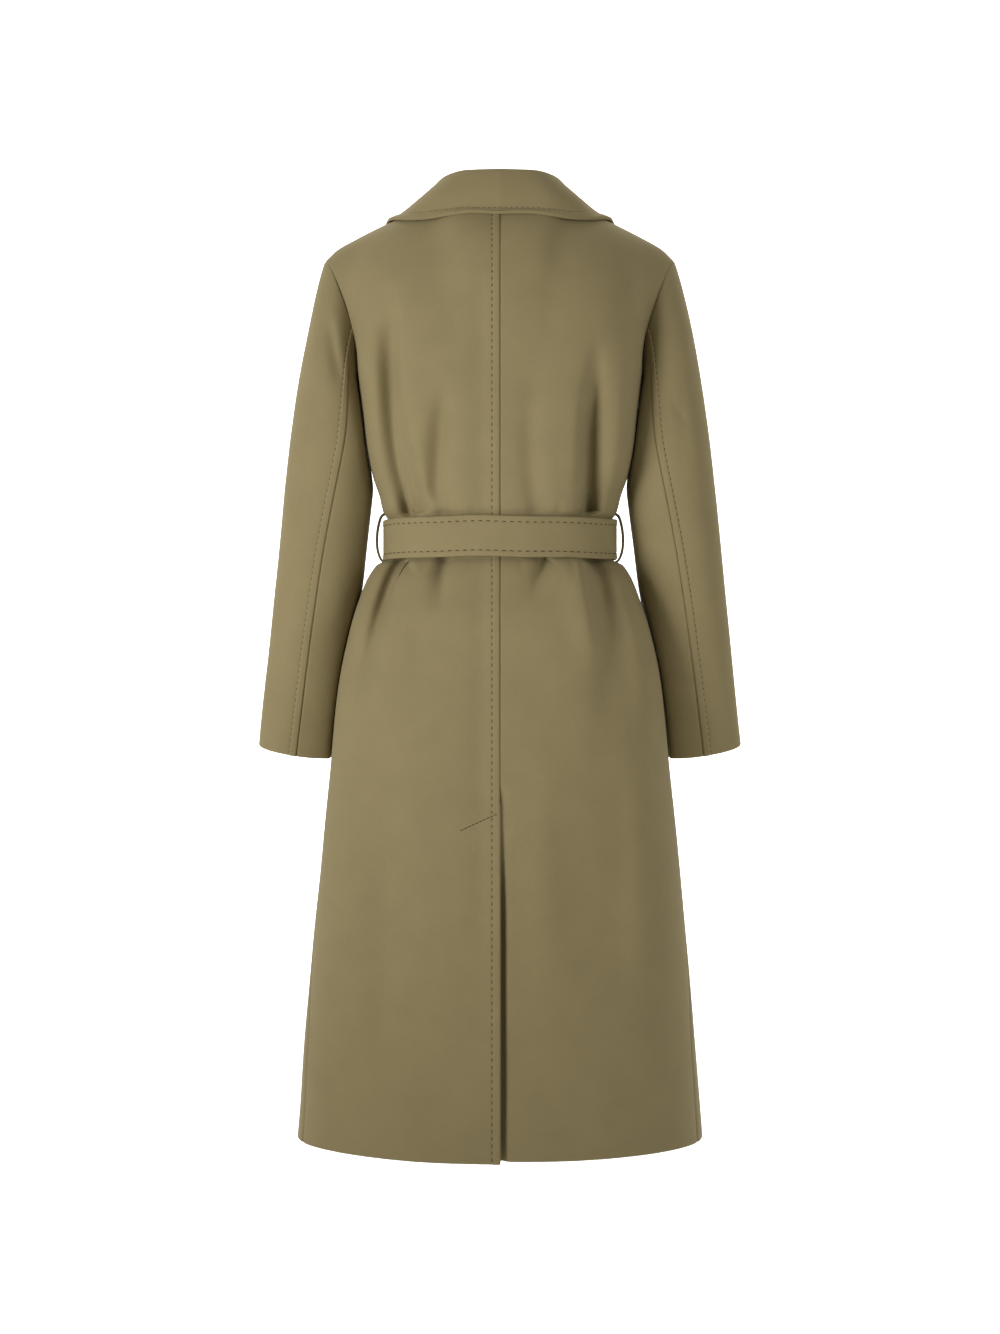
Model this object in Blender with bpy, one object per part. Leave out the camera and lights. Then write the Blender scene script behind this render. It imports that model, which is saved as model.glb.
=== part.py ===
"""A belted wool coat that keeps its worn, filled-out shape.

Metres, +Z up. The origin is at the base of the neck, between the shoulders, where the coat is carried.
The front faces -Y and the coat's left is +X. Every piece is a wall of cloth with an outer and an inner face.

Angles run round the body from the centre back (0) by the left side (90) to the centre front (180).
A panel is laid out by two numbers. Its share runs across it, and its level runs up it: metres below the
underarm where negative, and from 0 at the underarm to 1 at the shoulder and neck where positive.
"""

import math

import bmesh
import bpy
import numpy as np
from mathutils import Vector
from mathutils.bvhtree import BVHTree

# Driving dimensions
CLOTH = 0.0025  # one layer of coating wool
BELT_CLOTH = 0.0045  # the belt is two layers, turned in at its edges
SEAM_GAP = 0.0003
LAP = CLOTH + 0.0020  # how far a piece that passes under another lies below it
HEM = -1.118
UNDERARM = -0.205
BELT_MIDDLE = -0.4025
BELT_WIDTH = 0.049
BELT_OFFSET = 0.0032  # from the waist's section to the inside of the belt
SLEEVE_CLEARANCE = 0.0022
NECK_POINT = (0.083, -0.004, 0.0)  # where the shoulder seam meets the neck
SHOULDER_TIP = (0.2105, -0.004, -0.0675)
FRONT_OVERLAP = 0.085  # how far each front passes the centre front
ROLL_BREAK = -0.345  # where the upper lapel starts to turn back
VENT_TOP = -0.712
VENT_SLANT_END = -0.742  # the underlap is cut on a slant at its top
VENT_UNDERLAP = 0.045
BACK_HEM_LIFT = 0.0025  # the right back hangs this much shorter at the vent
HEM_RISE = 0.004  # the hem is this much higher at the sides and front than at the centre back

# How finely the panels are divided
NECK_COLUMNS = 4
SHOULDER_COLUMNS = 11
UPPER_ROWS = 7
LOWER_ROWS = (
    HEM, -1.04, -0.96, -0.88, -0.80, VENT_SLANT_END, VENT_TOP, -0.69, -0.64, -0.60, -0.565, -0.53, -0.50,
    -0.475, -0.452, -0.438, -0.431, -0.427, -0.415, -0.390, -0.378, -0.370, -0.35, -0.325, -0.295, -0.265,
    -0.235, UNDERARM,
)


def columns(names, rows):
    """A table as a dictionary of named columns."""
    return {name: np.array(column, float) for name, column in zip(names.split(), zip(*rows))}


# Level sections through the body, from the hem to the underarm
BODY = columns("height half_width back_depth front_depth squareness", (
    (HEM, 0.2424, 0.178, 0.172, 2.20),
    (-1.000, 0.2343, 0.171, 0.166, 2.25),
    (-0.850, 0.2204, 0.162, 0.157, 2.35),
    (-0.690, 0.2050, 0.152, 0.148, 2.50),
    (-0.611, 0.1970, 0.147, 0.143, 2.60),
    (-0.565, 0.1908, 0.143, 0.139, 2.65),
    (-0.523, 0.1820, 0.138, 0.134, 2.65),
    (-0.498, 0.1754, 0.134, 0.130, 2.60),
    (-0.478, 0.1690, 0.129, 0.126, 2.50),
    (-0.450, 0.1585, 0.120, 0.119, 2.40),
    (-0.438, 0.1505, 0.114, 0.114, 2.30),
    (-0.431, 0.1400, 0.1070, 0.1090, 2.25),
    (BELT_MIDDLE - BELT_WIDTH / 2, 0.1342, 0.1036, 0.1070, 2.20),
    (BELT_MIDDLE, 0.1325, 0.1025, 0.1060, 2.20),
    (BELT_MIDDLE + BELT_WIDTH / 2, 0.1340, 0.1035, 0.1070, 2.20),
    (-0.370, 0.1390, 0.1080, 0.1110, 2.30),
    (-0.350, 0.1440, 0.113, 0.117, 2.50),
    (-0.328, 0.1515, 0.118, 0.123, 2.70),
    (-0.287, 0.1602, 0.125, 0.132, 2.90),
    (-0.256, 0.1632, 0.128, 0.137, 3.00),
    (UNDERARM, 0.1690, 0.129, 0.136, 3.00),
))
SIDE_SEAM = columns("height angle", (
    (HEM, 76.5),
    (-1.00, 77.5),
    (-0.906, 81.0),
    (-0.82, 83.5),
    (-0.72, 88.0),
    (-0.40, 90.0),
    (UNDERARM, 88.0),
))

# Soft troughs that the belt draws in. Each runs from its start, at the belt, to its end, where it fades out.
FOLDS = columns("start end start_angle middle_angle end_angle depth start_width end_width", (
    (-0.380, -0.110, 59.5, 53.0, 46.5, 0.010, 0.009, 0.012),
    (-0.380, -0.220, 37.0, 31.5, 27.5, 0.006, 0.009, 0.014),
    (-0.380, -0.160, -56.5, -46.5, -48.5, 0.011, 0.010, 0.014),
    (-0.380, -0.180, -23.5, -15.5, -20.0, 0.004, 0.009, 0.012),
    (-0.425, -0.600, 62.5, 57.5, 59.0, 0.013, 0.010, 0.014),
    (-0.425, -0.490, 34.0, 33.5, 31.5, 0.006, 0.009, 0.012),
    (-0.425, -0.760, -60.0, -47.0, -43.5, 0.013, 0.011, 0.024),
    (-0.425, -0.490, -28.5, -18.0, -15.0, 0.006, 0.009, 0.012),
    (-0.380, -0.230, 114.0, 116.0, 112.0, 0.009, 0.009, 0.013),
    (-0.380, -0.240, -112.0, -114.0, -110.0, 0.009, 0.009, 0.013),
    (-0.425, -0.600, 112.0, 114.0, 112.0, 0.011, 0.009, 0.014),
    (-0.425, -0.620, -114.0, -112.0, -110.0, 0.011, 0.009, 0.014),
))
FOLD_LEAD = 0.012  # a fold rises over this height, hidden by the belt

# The long, shallow waves of the skirt
WAVES = columns("top bottom angle depth width", (
    (-0.70, -1.00, 43.0, 0.0045, 0.024),
    (-0.62, -1.05, -39.0, 0.0060, 0.030),
    (-0.65, -1.08, 122.0, 0.0050, 0.026),
    (-0.65, -1.08, -124.0, 0.0050, 0.026),
))

# The back neck, from the centre back to the neck point, then the shoulder seam to its tip
BACK_NECK = columns("share x y z", (
    (0.00, 0.000, 0.056, -0.0120),
    (0.35, 0.032, 0.0525, -0.0110),
    (0.70, 0.062, 0.036, -0.0070),
    (1.00, *NECK_POINT),
))
SHOULDER = columns("share x y z", (
    (0.00, *NECK_POINT),
    (0.40, 0.1332, -0.004, -0.0218),
    (0.58, 0.1540, -0.004, -0.0318),
    (0.74, 0.1735, -0.004, -0.0412),
    (0.90, 0.1950, -0.004, -0.0528),
    (1.00, *SHOULDER_TIP),
))
# How far the cloth leans in where it reaches the neck and shoulder, and how the armhole leaves its two ends
NECK_LEAN = 78.0
SHOULDER_LEAN = 88.0
COLUMN_PULL = 0.38  # length of a column's handles, as a share of its chord
BACK_ARMHOLE = {"underarm": (-0.004, 0.045, 0.045), "tip": (-0.008, 0.050, 0.0)}
FRONT_ARMHOLE = {"underarm": (-0.008, -0.042, 0.045), "tip": (-0.010, -0.045, 0.0)}
ARMHOLE_REACH = 0.7  # the share of a panel past which its columns turn to follow the armhole

# The front edge's distance past the centre front. Above the underarm it is the lapel's roll line.
FRONT_EDGE = columns("height overlap", (
    (HEM, FRONT_OVERLAP),
    (-0.46, FRONT_OVERLAP),
    (-0.40, 0.078),
    (ROLL_BREAK, 0.060),
    (UNDERARM, 0.0),
    (0.0, -NECK_POINT[0]),
))
LAP_MARGIN = 0.008
LAP_FADE = 0.040

# Places of the right back's first columns, to the left of the centre back, above and below the vent's top
VENT_CLOSED = (0.0, -0.0035, -0.007, -0.0105, -0.014)
VENT_OPEN = (VENT_UNDERLAP, 0.022, 0.003, -0.006, -0.016)
VENT_DROP = columns("height drop lift", (
    (HEM, 0.0090, 0.0040),
    (-0.85, 0.0090, 0.0030),
    (VENT_SLANT_END, 0.0040, 0.0),
    (VENT_TOP, 0.0034, 0.0),
    (-0.690, 0.0, 0.0),
))
VENT_LIFT_WIDTH = 0.05

# Level sections through a sleeve, below the upper arm
SLEEVE = columns("height centre_x centre_y half_width half_depth", (
    (-0.665, 0.2412, -0.047, 0.0530, 0.0490),
    (-0.570, 0.2309, -0.030, 0.0527, 0.0530),
    (-0.474, 0.2200, -0.015, 0.0522, 0.0575),
    (-0.380, 0.2094, -0.006, 0.0526, 0.0610),
    (-0.300, 0.2008, -0.004, 0.0530, 0.0630),
))
SLEEVE_SQUARENESS = 2.2
UPPER_ARM = -0.30
CUFF = -0.6545
CUFF_SLANT = 0.009  # the cuff is higher on its outer side
CUFF_DIP = 0.008  # and lower at its back
SLEEVE_CAP_ROWS = 7
SLEEVE_ROWS = 10
# Columns of the sleeve at which the two seams lie, and the angles round the arm that they reach further down
ARMHOLE_POINTS = 2 * UPPER_ROWS
BACK_SEAM_COLUMN = 5
FRONT_SEAM_COLUMN = 9
BACK_SEAM_TURN = BACK_SEAM_COLUMN / ARMHOLE_POINTS
FRONT_SEAM_TURN = FRONT_SEAM_COLUMN / ARMHOLE_POINTS
SLEEVE_PULL = 0.36
BACK_SEAM_ANGLE = columns("height angle", ((-0.665, 86.0), (-0.43, 94.0), (-0.30, 104.0)))
FRONT_SEAM_ANGLE = columns("height angle", ((-0.665, 238.0), (-0.43, 236.0), (-0.30, 234.0)))

# The collar's left half, from the centre back to its front end: neck seam, fold line and outer edge
COLLAR = columns("share neck_x neck_y neck_z fold_x fold_y fold_z edge_x edge_y edge_z clear bulge", (
    (0.00, 0.000, 0.0560, -0.0105, 0.000, 0.0680, 0.0290, 0.000, 0.0840, -0.0270, 0.0015, 0.003),
    (0.17, 0.032, 0.0525, -0.0095, 0.036, 0.0620, 0.0290, 0.058, 0.0780, -0.0270, 0.0015, 0.003),
    (0.34, 0.062, 0.0360, -0.0055, 0.063, 0.0420, 0.0255, 0.106, 0.0520, -0.0265, 0.0024, 0.002),
    (0.50, 0.083, -0.0040, 0.0020, 0.079, -0.0020, 0.0150, 0.131, 0.0040, -0.0220, 0.0022, 0.000),
    (0.75, 0.0745, -0.0180, -0.0190, 0.077, -0.0230, -0.0090, 0.140, -0.0380, -0.0330, 0.0030, 0.000),
    (1.00, 0.0620, -0.0400, -0.0520, 0.065, -0.0460, -0.0470, 0.138, -0.0640, -0.0620, 0.0042, 0.000),
))
COLLAR_ROLL = 0.0035
COLLAR_COLUMNS = 13  # on each side
COLLAR_STATIONS = (0, 1, 2, 2.5, 3, 3.5, 4, 4.5, 5, 5.5, 6)  # rows, from neck seam by fold to edge

# The lapels in front view, x being towards their own side: roll line and outer edge, from break to top
LAPEL_TOP = (0.0585, -0.0600)
LAPEL_TIP = (0.166, -0.100)
LAPEL_BREAK = {1: (0.006, -0.196), -1: (-0.058, ROLL_BREAK + 0.003)}  # the left one ends at the right front
LAPEL_BOW = {1: (0.060, -0.190), -1: (0.070, -0.250)}  # pulls the outer edge into a curve
LAPEL_ROWS = 11
LAPEL_COLUMNS = 7
LAPEL_CLEARANCE = 0.0034
LAPEL_INSET = 0.0015

# The belt's knot and hanging ends
KNOT_X = 0.018
KNOT_HALF = (0.030, 0.0115, 0.0285)
TAIL_LENGTH = {1: 0.33, -1: 0.36}
TAIL_SLANT = 7.0
TAIL_START = 0.012
TAIL_CLEARANCE = {1: 0.0100, -1: 0.0024}  # the left end leaves the knot over the right one
TAIL_LANDED = {1: 0.0030, -1: 0.0007}
TAIL_GAP = {1: 0.0030, -1: 0.0004}  # from the knot's underside to the top of an end
TAIL_ROWS = 14

# Belt loops on the side seams: how far the strip stands out from the belt, and where it is sewn on
LOOP_WIDTH = 0.009
LOOP_CLOTH = 0.0026
LOOP_STAND_OFF = 0.0058
LOOP_TOP = -0.3690
LOOP_BOTTOM = -0.4340
LOOP_ROWS = 11

OLIVE = (0.262, 0.212, 0.108, 1.0)


def smooth(knots, values, at):
    """Values between knots on a cubic curve that never overshoots them."""
    step = np.diff(knots)
    slope = np.diff(values) / step
    rising = slope[1:] * slope[:-1] > 0
    before = np.where(rising, slope[:-1], 1.0)
    after = np.where(rising, slope[1:], 1.0)
    first = 2 * step[1:] + step[:-1]
    second = step[1:] + 2 * step[:-1]
    inner = np.where(rising, (first + second) / (first / before + second / after), 0.0)
    tangent = np.concatenate([slope[:1], inner, slope[-1:]])
    at = np.clip(at, knots[0], knots[-1])
    k = np.clip(np.searchsorted(knots, at, side="right") - 1, 0, len(step) - 1)
    t = (at - knots[k]) / step[k]
    start = values[k] * (1 + 2 * t) * (1 - t) ** 2 + tangent[k] * step[k] * t * (1 - t) ** 2
    return start + values[k + 1] * t * t * (3 - 2 * t) - tangent[k + 1] * step[k] * t * t * (1 - t)


def read(table, name, at):
    """A named column of a table, at places along its first column."""
    return smooth(next(iter(table.values())), table[name], at)


def read_point(table, at, prefix=""):
    return np.stack([read(table, prefix + axis, at) for axis in "xyz"], axis=-1)


def ease(t):
    """0 before 0, 1 after 1, and a smooth step between."""
    t = np.clip(t, 0.0, 1.0)
    return t * t * (3 - 2 * t)


def unit(vectors):
    return vectors / np.maximum(np.linalg.norm(vectors, axis=-1, keepdims=True), 1e-12)


def bezier(start, leave, arrive, end, t):
    t = np.asarray(t)[..., None]
    return start * (1 - t) ** 3 + 3 * leave * t * (1 - t) ** 2 + 3 * arrive * t * t * (1 - t) + end * t**3


# The body's form
def ring_radius(angle, height):
    """Distance from the body's axis to the plain section, before folds."""
    sine, cosine = np.abs(np.sin(angle)), np.cos(angle)
    depth = np.where(cosine >= 0, read(BODY, "back_depth", height), read(BODY, "front_depth", height))
    power = read(BODY, "squareness", height)
    across = sine / read(BODY, "half_width", height)
    return (across**power + (np.abs(cosine) / depth) ** power) ** (-1 / power)


def ring_point(angle, height):
    radius = ring_radius(angle, height)
    return np.stack([radius * np.sin(angle), radius * np.cos(angle), height + 0 * angle], axis=-1)


def ring_normal(angle, height):
    step = 1e-3
    across = ring_point(angle + step, height) - ring_point(angle - step, height)
    up = ring_point(angle, height + step) - ring_point(angle, height - step)
    return unit(np.cross(up, across))


def side_angle(height):
    return np.radians(read(SIDE_SEAM, "angle", height))


def turn_between(angle, other):
    """The signed turn from one angle to another, the short way round."""
    return (angle - other + math.pi) % (2 * math.pi) - math.pi


def fold_depth(angle, height):
    """How far folds and waves draw the cloth in, at an angle that is negative on the right."""
    depth = np.zeros_like(angle)
    radius = ring_radius(angle, np.clip(height, HEM, UNDERARM))
    for k in range(len(FOLDS["start"])):
        fold = {name: column[k] for name, column in FOLDS.items()}
        t = (height - fold["start"]) / (fold["end"] - fold["start"])
        lead = FOLD_LEAD / abs(fold["end"] - fold["start"])
        along = np.clip(t, 0.0, 1.0)
        centre = (
            fold["start_angle"] * (1 - along) * (1 - 2 * along)
            + fold["middle_angle"] * 4 * along * (1 - along)
            + fold["end_angle"] * along * (2 * along - 1)
        )
        width = fold["start_width"] + (fold["end_width"] - fold["start_width"]) * along
        aside = turn_between(angle, np.radians(centre)) * radius / width
        depth += fold["depth"] * ease(1 + t / lead) * (1 - along**2) ** 1.5 * np.exp(-0.5 * aside**2)
    for k in range(len(WAVES["top"])):
        wave = {name: column[k] for name, column in WAVES.items()}
        t = np.clip((height - wave["bottom"]) / (wave["top"] - wave["bottom"]), 0.0, 1.0)
        aside = turn_between(angle, math.radians(wave["angle"])) * radius / wave["width"]
        depth += wave["depth"] * np.sin(math.pi * t) ** 2 * np.exp(-0.5 * aside**2)
    return depth


def mirrored(points, side):
    return points * np.array([side, 1.0, 1.0])


def upper_column(foot, rise, top, lean, handles, share, level):
    """A column of cloth from the underarm level up to the neck or shoulder.

    It leaves the section below along its rise, arrives along its lean, and follows the armhole at share 1.
    """
    pull = COLUMN_PULL * np.linalg.norm(top - foot, axis=-1, keepdims=True)
    follow = ease((share - ARMHOLE_REACH) / (1 - ARMHOLE_REACH))[..., None]
    leave = foot + (1 - follow) * rise * pull + follow * np.array(handles["underarm"])
    arrive = top - (1 - follow) * lean * pull + follow * np.array(handles["tip"])
    return bezier(foot, leave, arrive, top, level)


def ring_rise(angle):
    """The direction in which the body's cloth passes the underarm."""
    step = 0.004
    return unit(ring_point(angle, UNDERARM + 0 * angle) - ring_point(angle, UNDERARM - step + 0 * angle))


def folded(points, angle, side):
    """Points moved in by the folds, on the left (1) or right (-1)."""
    outward = np.stack([np.sin(angle), np.cos(angle), 0 * angle], axis=-1)
    return mirrored(points - outward * fold_depth(side * angle, points[..., 2])[..., None], side)


def back_point(side, share, level):
    """A point on the outside of a back. Share runs from the centre back to the side seam and armhole."""
    share, level = np.broadcast_arrays(np.asarray(share, float), np.asarray(level, float))
    height = UNDERARM + np.minimum(level, 0.0)
    share = np.where(level > 0, np.minimum(share, 1.0), share)
    angle = share * side_angle(height)
    low = ring_point(angle, height)
    across = (share - NECK_SHARE) / (1 - NECK_SHARE)
    neck = read_point(BACK_NECK, share / NECK_SHARE)
    top = np.where((share < NECK_SHARE)[..., None], neck, read_point(SHOULDER, across))
    turn = np.radians(NECK_LEAN + (SHOULDER_LEAN - NECK_LEAN) * np.clip(share / NECK_SHARE, 0, 1))
    lean = np.stack([0 * turn, -np.sin(turn), np.cos(turn)], axis=-1)
    foot = ring_point(angle, UNDERARM + 0 * angle)
    high = upper_column(foot, ring_rise(angle), top, lean, BACK_ARMHOLE, share, np.clip(level, 0, 1))
    points = np.where((level <= 0)[..., None], low, high)
    points[..., 1] += vent_shift(side, points[..., 0], height)
    return folded(points, angle, side)


def vent_shift(side, aside, height):
    """The left back's edge stands out at the vent, and the right back drops in to pass under it."""
    if side > 0:
        return read(VENT_DROP, "lift", height) * np.exp(-np.maximum(aside, 0) / VENT_LIFT_WIDTH)
    return -read(VENT_DROP, "drop", height) * ease(1 - (aside - 0.002) / 0.012)


def front_point(side, share, level):
    """A point on the outside of a front. Share runs from its edge or roll line to side seam and armhole."""
    share, level = np.broadcast_arrays(np.asarray(share, float), np.asarray(level, float))
    height = UNDERARM + np.minimum(level, 0.0)
    share = np.where(level > 0, np.clip(share, 0.0, 1.0), share)
    overlap = read(FRONT_EDGE, "overlap", height) / read(BODY, "front_depth", height)
    edge = math.pi + np.arcsin(np.clip(overlap, -1, 1))
    angle = edge + share * (side_angle(height) - edge)
    low = ring_point(angle, height)
    top = read_point(SHOULDER, share)
    foot = ring_point(angle, UNDERARM + 0 * angle)
    roll = unit(np.array(NECK_POINT) - ring_point(np.array(math.pi), np.array(UNDERARM)))
    turn = math.radians(SHOULDER_LEAN)
    lean = np.array([0.0, math.sin(turn), math.cos(turn)])
    open_chest = ease(share / 0.5)[..., None]
    rise = unit(ring_rise(angle) * open_chest + roll * (1 - open_chest))
    lean = unit(lean * open_chest + roll * (1 - open_chest))
    high = upper_column(foot, rise, top, lean, FRONT_ARMHOLE, share, np.clip(level, 0, 1))
    points = np.where((level <= 0)[..., None], low, high)
    if side > 0:
        limit = read(FRONT_EDGE, "overlap", points[..., 2]) + LAP_MARGIN
        under = LAP * ease(1 - (points[..., 0] - limit) / LAP_FADE)
        points = points - ring_normal(angle, height) * under[..., None]
    return folded(points, angle, side)


NECK_SHARE = NECK_COLUMNS / (NECK_COLUMNS + SHOULDER_COLUMNS)
LEVELS = np.array([z - UNDERARM for z in LOWER_ROWS] + [k / UPPER_ROWS for k in range(1, UPPER_ROWS + 1)])


# Walls of cloth
def surface_normals(point, side, shares, levels):
    """Outward normals of a back or front, from its form on both sides of each point."""
    step = 1e-3
    across = point(side, shares + step, levels) - point(side, shares - step, levels)
    up = point(side, shares, levels + step) - point(side, shares, levels - step)
    return unit(np.cross(across, up)) * (side if point is front_point else -side)


def grid_normals(grid):
    """Normals of a grid of points, to one side or the other."""
    return unit(np.cross(np.gradient(grid, axis=1), np.gradient(grid, axis=0)))


def drawn_in(grid, edges):
    """A grid whose named edges stop short of their seams."""
    grid = grid.copy()
    places = {
        "first": (np.s_[:, 0], np.s_[:, 1]),
        "last": (np.s_[:, -1], np.s_[:, -2]),
        "top": (np.s_[-1], np.s_[-2]),
    }
    for edge in edges:
        line, inside = places[edge]
        grid[line] = grid[line] + unit(grid[inside] - grid[line]) * SEAM_GAP * 0.6
    return grid


def halves(rows, cols):
    """The triangles of a grid, each as three (row, column) corners."""
    for r in range(rows - 1):
        for c in range(cols - 1):
            yield (r, c), (r, c + 1), (r + 1, c + 1)
            yield (r, c), (r + 1, c + 1), (r + 1, c)


def wall_faces(rows, cols):
    """Faces of a closed wall whose outer points come first and inner ones after them."""
    def at(layer, r, c):
        return layer * rows * cols + r * cols + c

    faces = []
    for corners in halves(rows, cols):
        faces.append([at(0, *corner) for corner in corners])
        faces.append([at(1, *corner) for corner in reversed(corners)])
    rim = [(0, c) for c in range(cols)] + [(r, cols - 1) for r in range(1, rows)]
    rim += [(rows - 1, c) for c in range(cols - 2, -1, -1)] + [(r, 0) for r in range(rows - 2, 0, -1)]
    for here, there in zip(rim, rim[1:] + rim[:1]):
        faces.append([at(0, *there), at(0, *here), at(1, *here), at(1, *there)])
    return faces


def add_object(name, points, faces):
    """A named object with its own wool material and faces that point out."""
    mesh = bpy.data.meshes.new(name)
    mesh.from_pydata([tuple(p) for p in points], [], faces)
    work = bmesh.new()
    work.from_mesh(mesh)
    bmesh.ops.triangulate(work, faces=work.faces)
    bmesh.ops.recalc_face_normals(work, faces=work.faces)
    work.to_mesh(mesh)
    work.free()
    mesh.shade_smooth()
    mesh.set_sharp_from_angle(angle=math.radians(40))
    material = bpy.data.materials.new(name + "_wool")
    material.use_nodes = True
    shader = material.node_tree.nodes["Principled BSDF"]
    shader.inputs["Base Color"].default_value = OLIVE
    shader.inputs["Roughness"].default_value = 0.92
    shader.inputs["Metallic"].default_value = 0.0
    mesh.materials.append(material)
    obj = bpy.data.objects.new(name, mesh)
    bpy.context.scene.collection.objects.link(obj)


def add_wall(name, outer, inner):
    rows, cols = outer.shape[:2]
    points = np.concatenate([outer.reshape(-1, 3), inner.reshape(-1, 3)])
    add_object(name, points, wall_faces(rows, cols))


def add_ring(name, sections, closed):
    """A solid from outlines set one after another, closed into a ring or capped at both ends."""
    count, around = sections.shape[:2]
    faces = []
    for k in range(count if closed else count - 1):
        for j in range(around):
            a, b = k * around, (k + 1) % count * around
            faces.append([a + j, a + (j + 1) % around, b + (j + 1) % around, b + j])
    if not closed:
        faces.append(list(range(around))[::-1])
        faces.append([(count - 1) * around + j for j in range(around)])
    add_object(name, sections.reshape(-1, 3), faces)


def tree_of(*grids):
    """A search tree over the outsides of pieces."""
    points, faces = [], []
    for grid in grids:
        rows, cols = grid.shape[:2]
        base = len(points)
        points += [Vector(p) for p in grid.reshape(-1, 3)]
        faces += [[base + r * cols + c for r, c in corners] for corners in halves(rows, cols)]
    return BVHTree.FromPolygons(points, faces)


# Sleeves, worked out on the left
def armhole(turn):
    """The armhole, from the shoulder tip (0) down the back to the underarm (0.5) and up the front (1)."""
    back = back_point(1, 1.0, np.clip(1 - 2 * turn, 0, 1))
    front = front_point(1, 1.0, np.clip(2 * turn - 1, 0, 1))
    return np.where((turn <= 0.5)[..., None], back, front)


def sleeve_angle(turn, height):
    """The angle round the sleeve, from its outer side by the back, that a column reaches at a height."""
    back = read(BACK_SEAM_ANGLE, "angle", height)
    front = read(FRONT_SEAM_ANGLE, "angle", height)
    under = back + (front - back) * (turn - BACK_SEAM_TURN) / (FRONT_SEAM_TURN - BACK_SEAM_TURN)
    last = front + (360.0 - front) * (turn - FRONT_SEAM_TURN) / (1 - FRONT_SEAM_TURN)
    first = back * turn / BACK_SEAM_TURN
    return np.radians(np.where(turn <= BACK_SEAM_TURN, first, np.where(turn <= FRONT_SEAM_TURN, under, last)))


def sleeve_tube(turn, height):
    """The sleeve below the upper arm."""
    angle = sleeve_angle(turn, height)
    c, s = np.cos(angle), np.sin(angle)
    wide, deep = read(SLEEVE, "half_width", height), read(SLEEVE, "half_depth", height)
    power = SLEEVE_SQUARENESS
    radius = ((np.abs(c) / wide) ** power + (np.abs(s) / deep) ** power) ** (-1 / power)
    x = read(SLEEVE, "centre_x", height) + radius * c
    y = read(SLEEVE, "centre_y", height) + radius * s
    return np.stack([x, y, height + 0 * x], axis=-1)


def clear_of_body(points):
    """Sleeve points pushed out where the sleeve hangs against the body."""
    x, y, z = np.moveaxis(points, -1, 0)
    height = np.clip(z, HEM, UNDERARM)
    depth = np.where(y > 0, read(BODY, "back_depth", height), read(BODY, "front_depth", height))
    power = read(BODY, "squareness", height)
    inside = np.maximum(0.0, 1 - (np.abs(y) / depth) ** power)
    limit = read(BODY, "half_width", height) * inside ** (1 / power) + SLEEVE_CLEARANCE
    over = np.clip((x - limit) / SLEEVE_CLEARANCE, -30, 30)
    pushed = np.maximum(x, limit + SLEEVE_CLEARANCE * np.log1p(np.exp(over)))
    return np.stack([np.where(z < UNDERARM, pushed, x), y, z], axis=-1)


def sleeve_point(turn, level):
    """A point on the sleeve's outside. Level is 0 at the armhole, 1 at the upper arm and 2 at the cuff."""
    start = armhole(turn)
    end = sleeve_tube(turn, UPPER_ARM + 0 * turn)
    swing = 2 * math.pi * turn
    leave = start + np.stack([0.013 + 0 * turn, 0.016 * np.sin(swing), -0.036 + 0 * turn], axis=-1)
    pull = SLEEVE_PULL * np.linalg.norm(end - start, axis=-1, keepdims=True)
    arrive = end + unit(end - sleeve_tube(turn, UPPER_ARM - 0.02 + 0 * turn)) * pull
    cap = bezier(start, leave, arrive, end, np.clip(level, 0, 1))
    angle = sleeve_angle(turn, CUFF + 0 * turn)
    cuff = CUFF + CUFF_SLANT * np.cos(angle) - CUFF_DIP * np.sin(angle)
    tube = sleeve_tube(turn, UPPER_ARM + (cuff - UPPER_ARM) * np.clip(level - 1, 0, 1))
    points = clear_of_body(np.where((level <= 1)[..., None], cap, tube))
    settle = ease(level / 0.25)[..., None]
    return cap * (1 - settle) + points * settle


def sleeve_form():
    """The outside of the left sleeve all the way round, and its outward normals."""
    turns = np.arange(ARMHOLE_POINTS) / ARMHOLE_POINTS
    levels = np.concatenate([
        np.arange(SLEEVE_CAP_ROWS) / SLEEVE_CAP_ROWS,
        1 + np.arange(SLEEVE_ROWS + 1) / SLEEVE_ROWS,
    ])
    turn, level = np.meshgrid(turns, levels)
    grid = sleeve_point(turn, level)
    round_arm = np.roll(grid, -1, axis=1) - np.roll(grid, 1, axis=1)
    return grid, unit(np.cross(np.gradient(grid, axis=0), round_arm))


def armhole_normals():
    """Normals of the body and of the sleeve round the left armhole.

    Where the sleeve bends away from the body both take their mean, lengthened, so that their edges meet flat.
    """
    turns = np.arange(ARMHOLE_POINTS) / ARMHOLE_POINTS
    back = surface_normals(back_point, 1, 0 * turns + 1.0, np.clip(1 - 2 * turns, 0, 1))
    front = surface_normals(front_point, 1, 0 * turns + 1.0, np.clip(2 * turns - 1, 0, 1))
    body = np.where((turns <= 0.5)[:, None], back, front)
    for shared in (0, UPPER_ROWS):
        body[shared] = unit(back[shared] + front[shared])
    body[0] = unit(surface_normals(back_point, 1, np.array([1.0]), np.array([1.0]))[0]
                   + surface_normals(front_point, 1, np.array([1.0]), np.array([1.0]))[0])
    grid, normals = SLEEVE_FORM
    leaving = unit(grid[1] - grid[0])
    bends_away = (np.sum(leaving * body, axis=-1) < 0.0)[:, None]
    mean = unit(body + normals[0])
    longer = mean / np.maximum(np.sum(mean * body, axis=-1, keepdims=True), 0.5)
    return np.where(bends_away, longer, body), np.where(bends_away, longer, normals[0]), leaving


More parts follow.
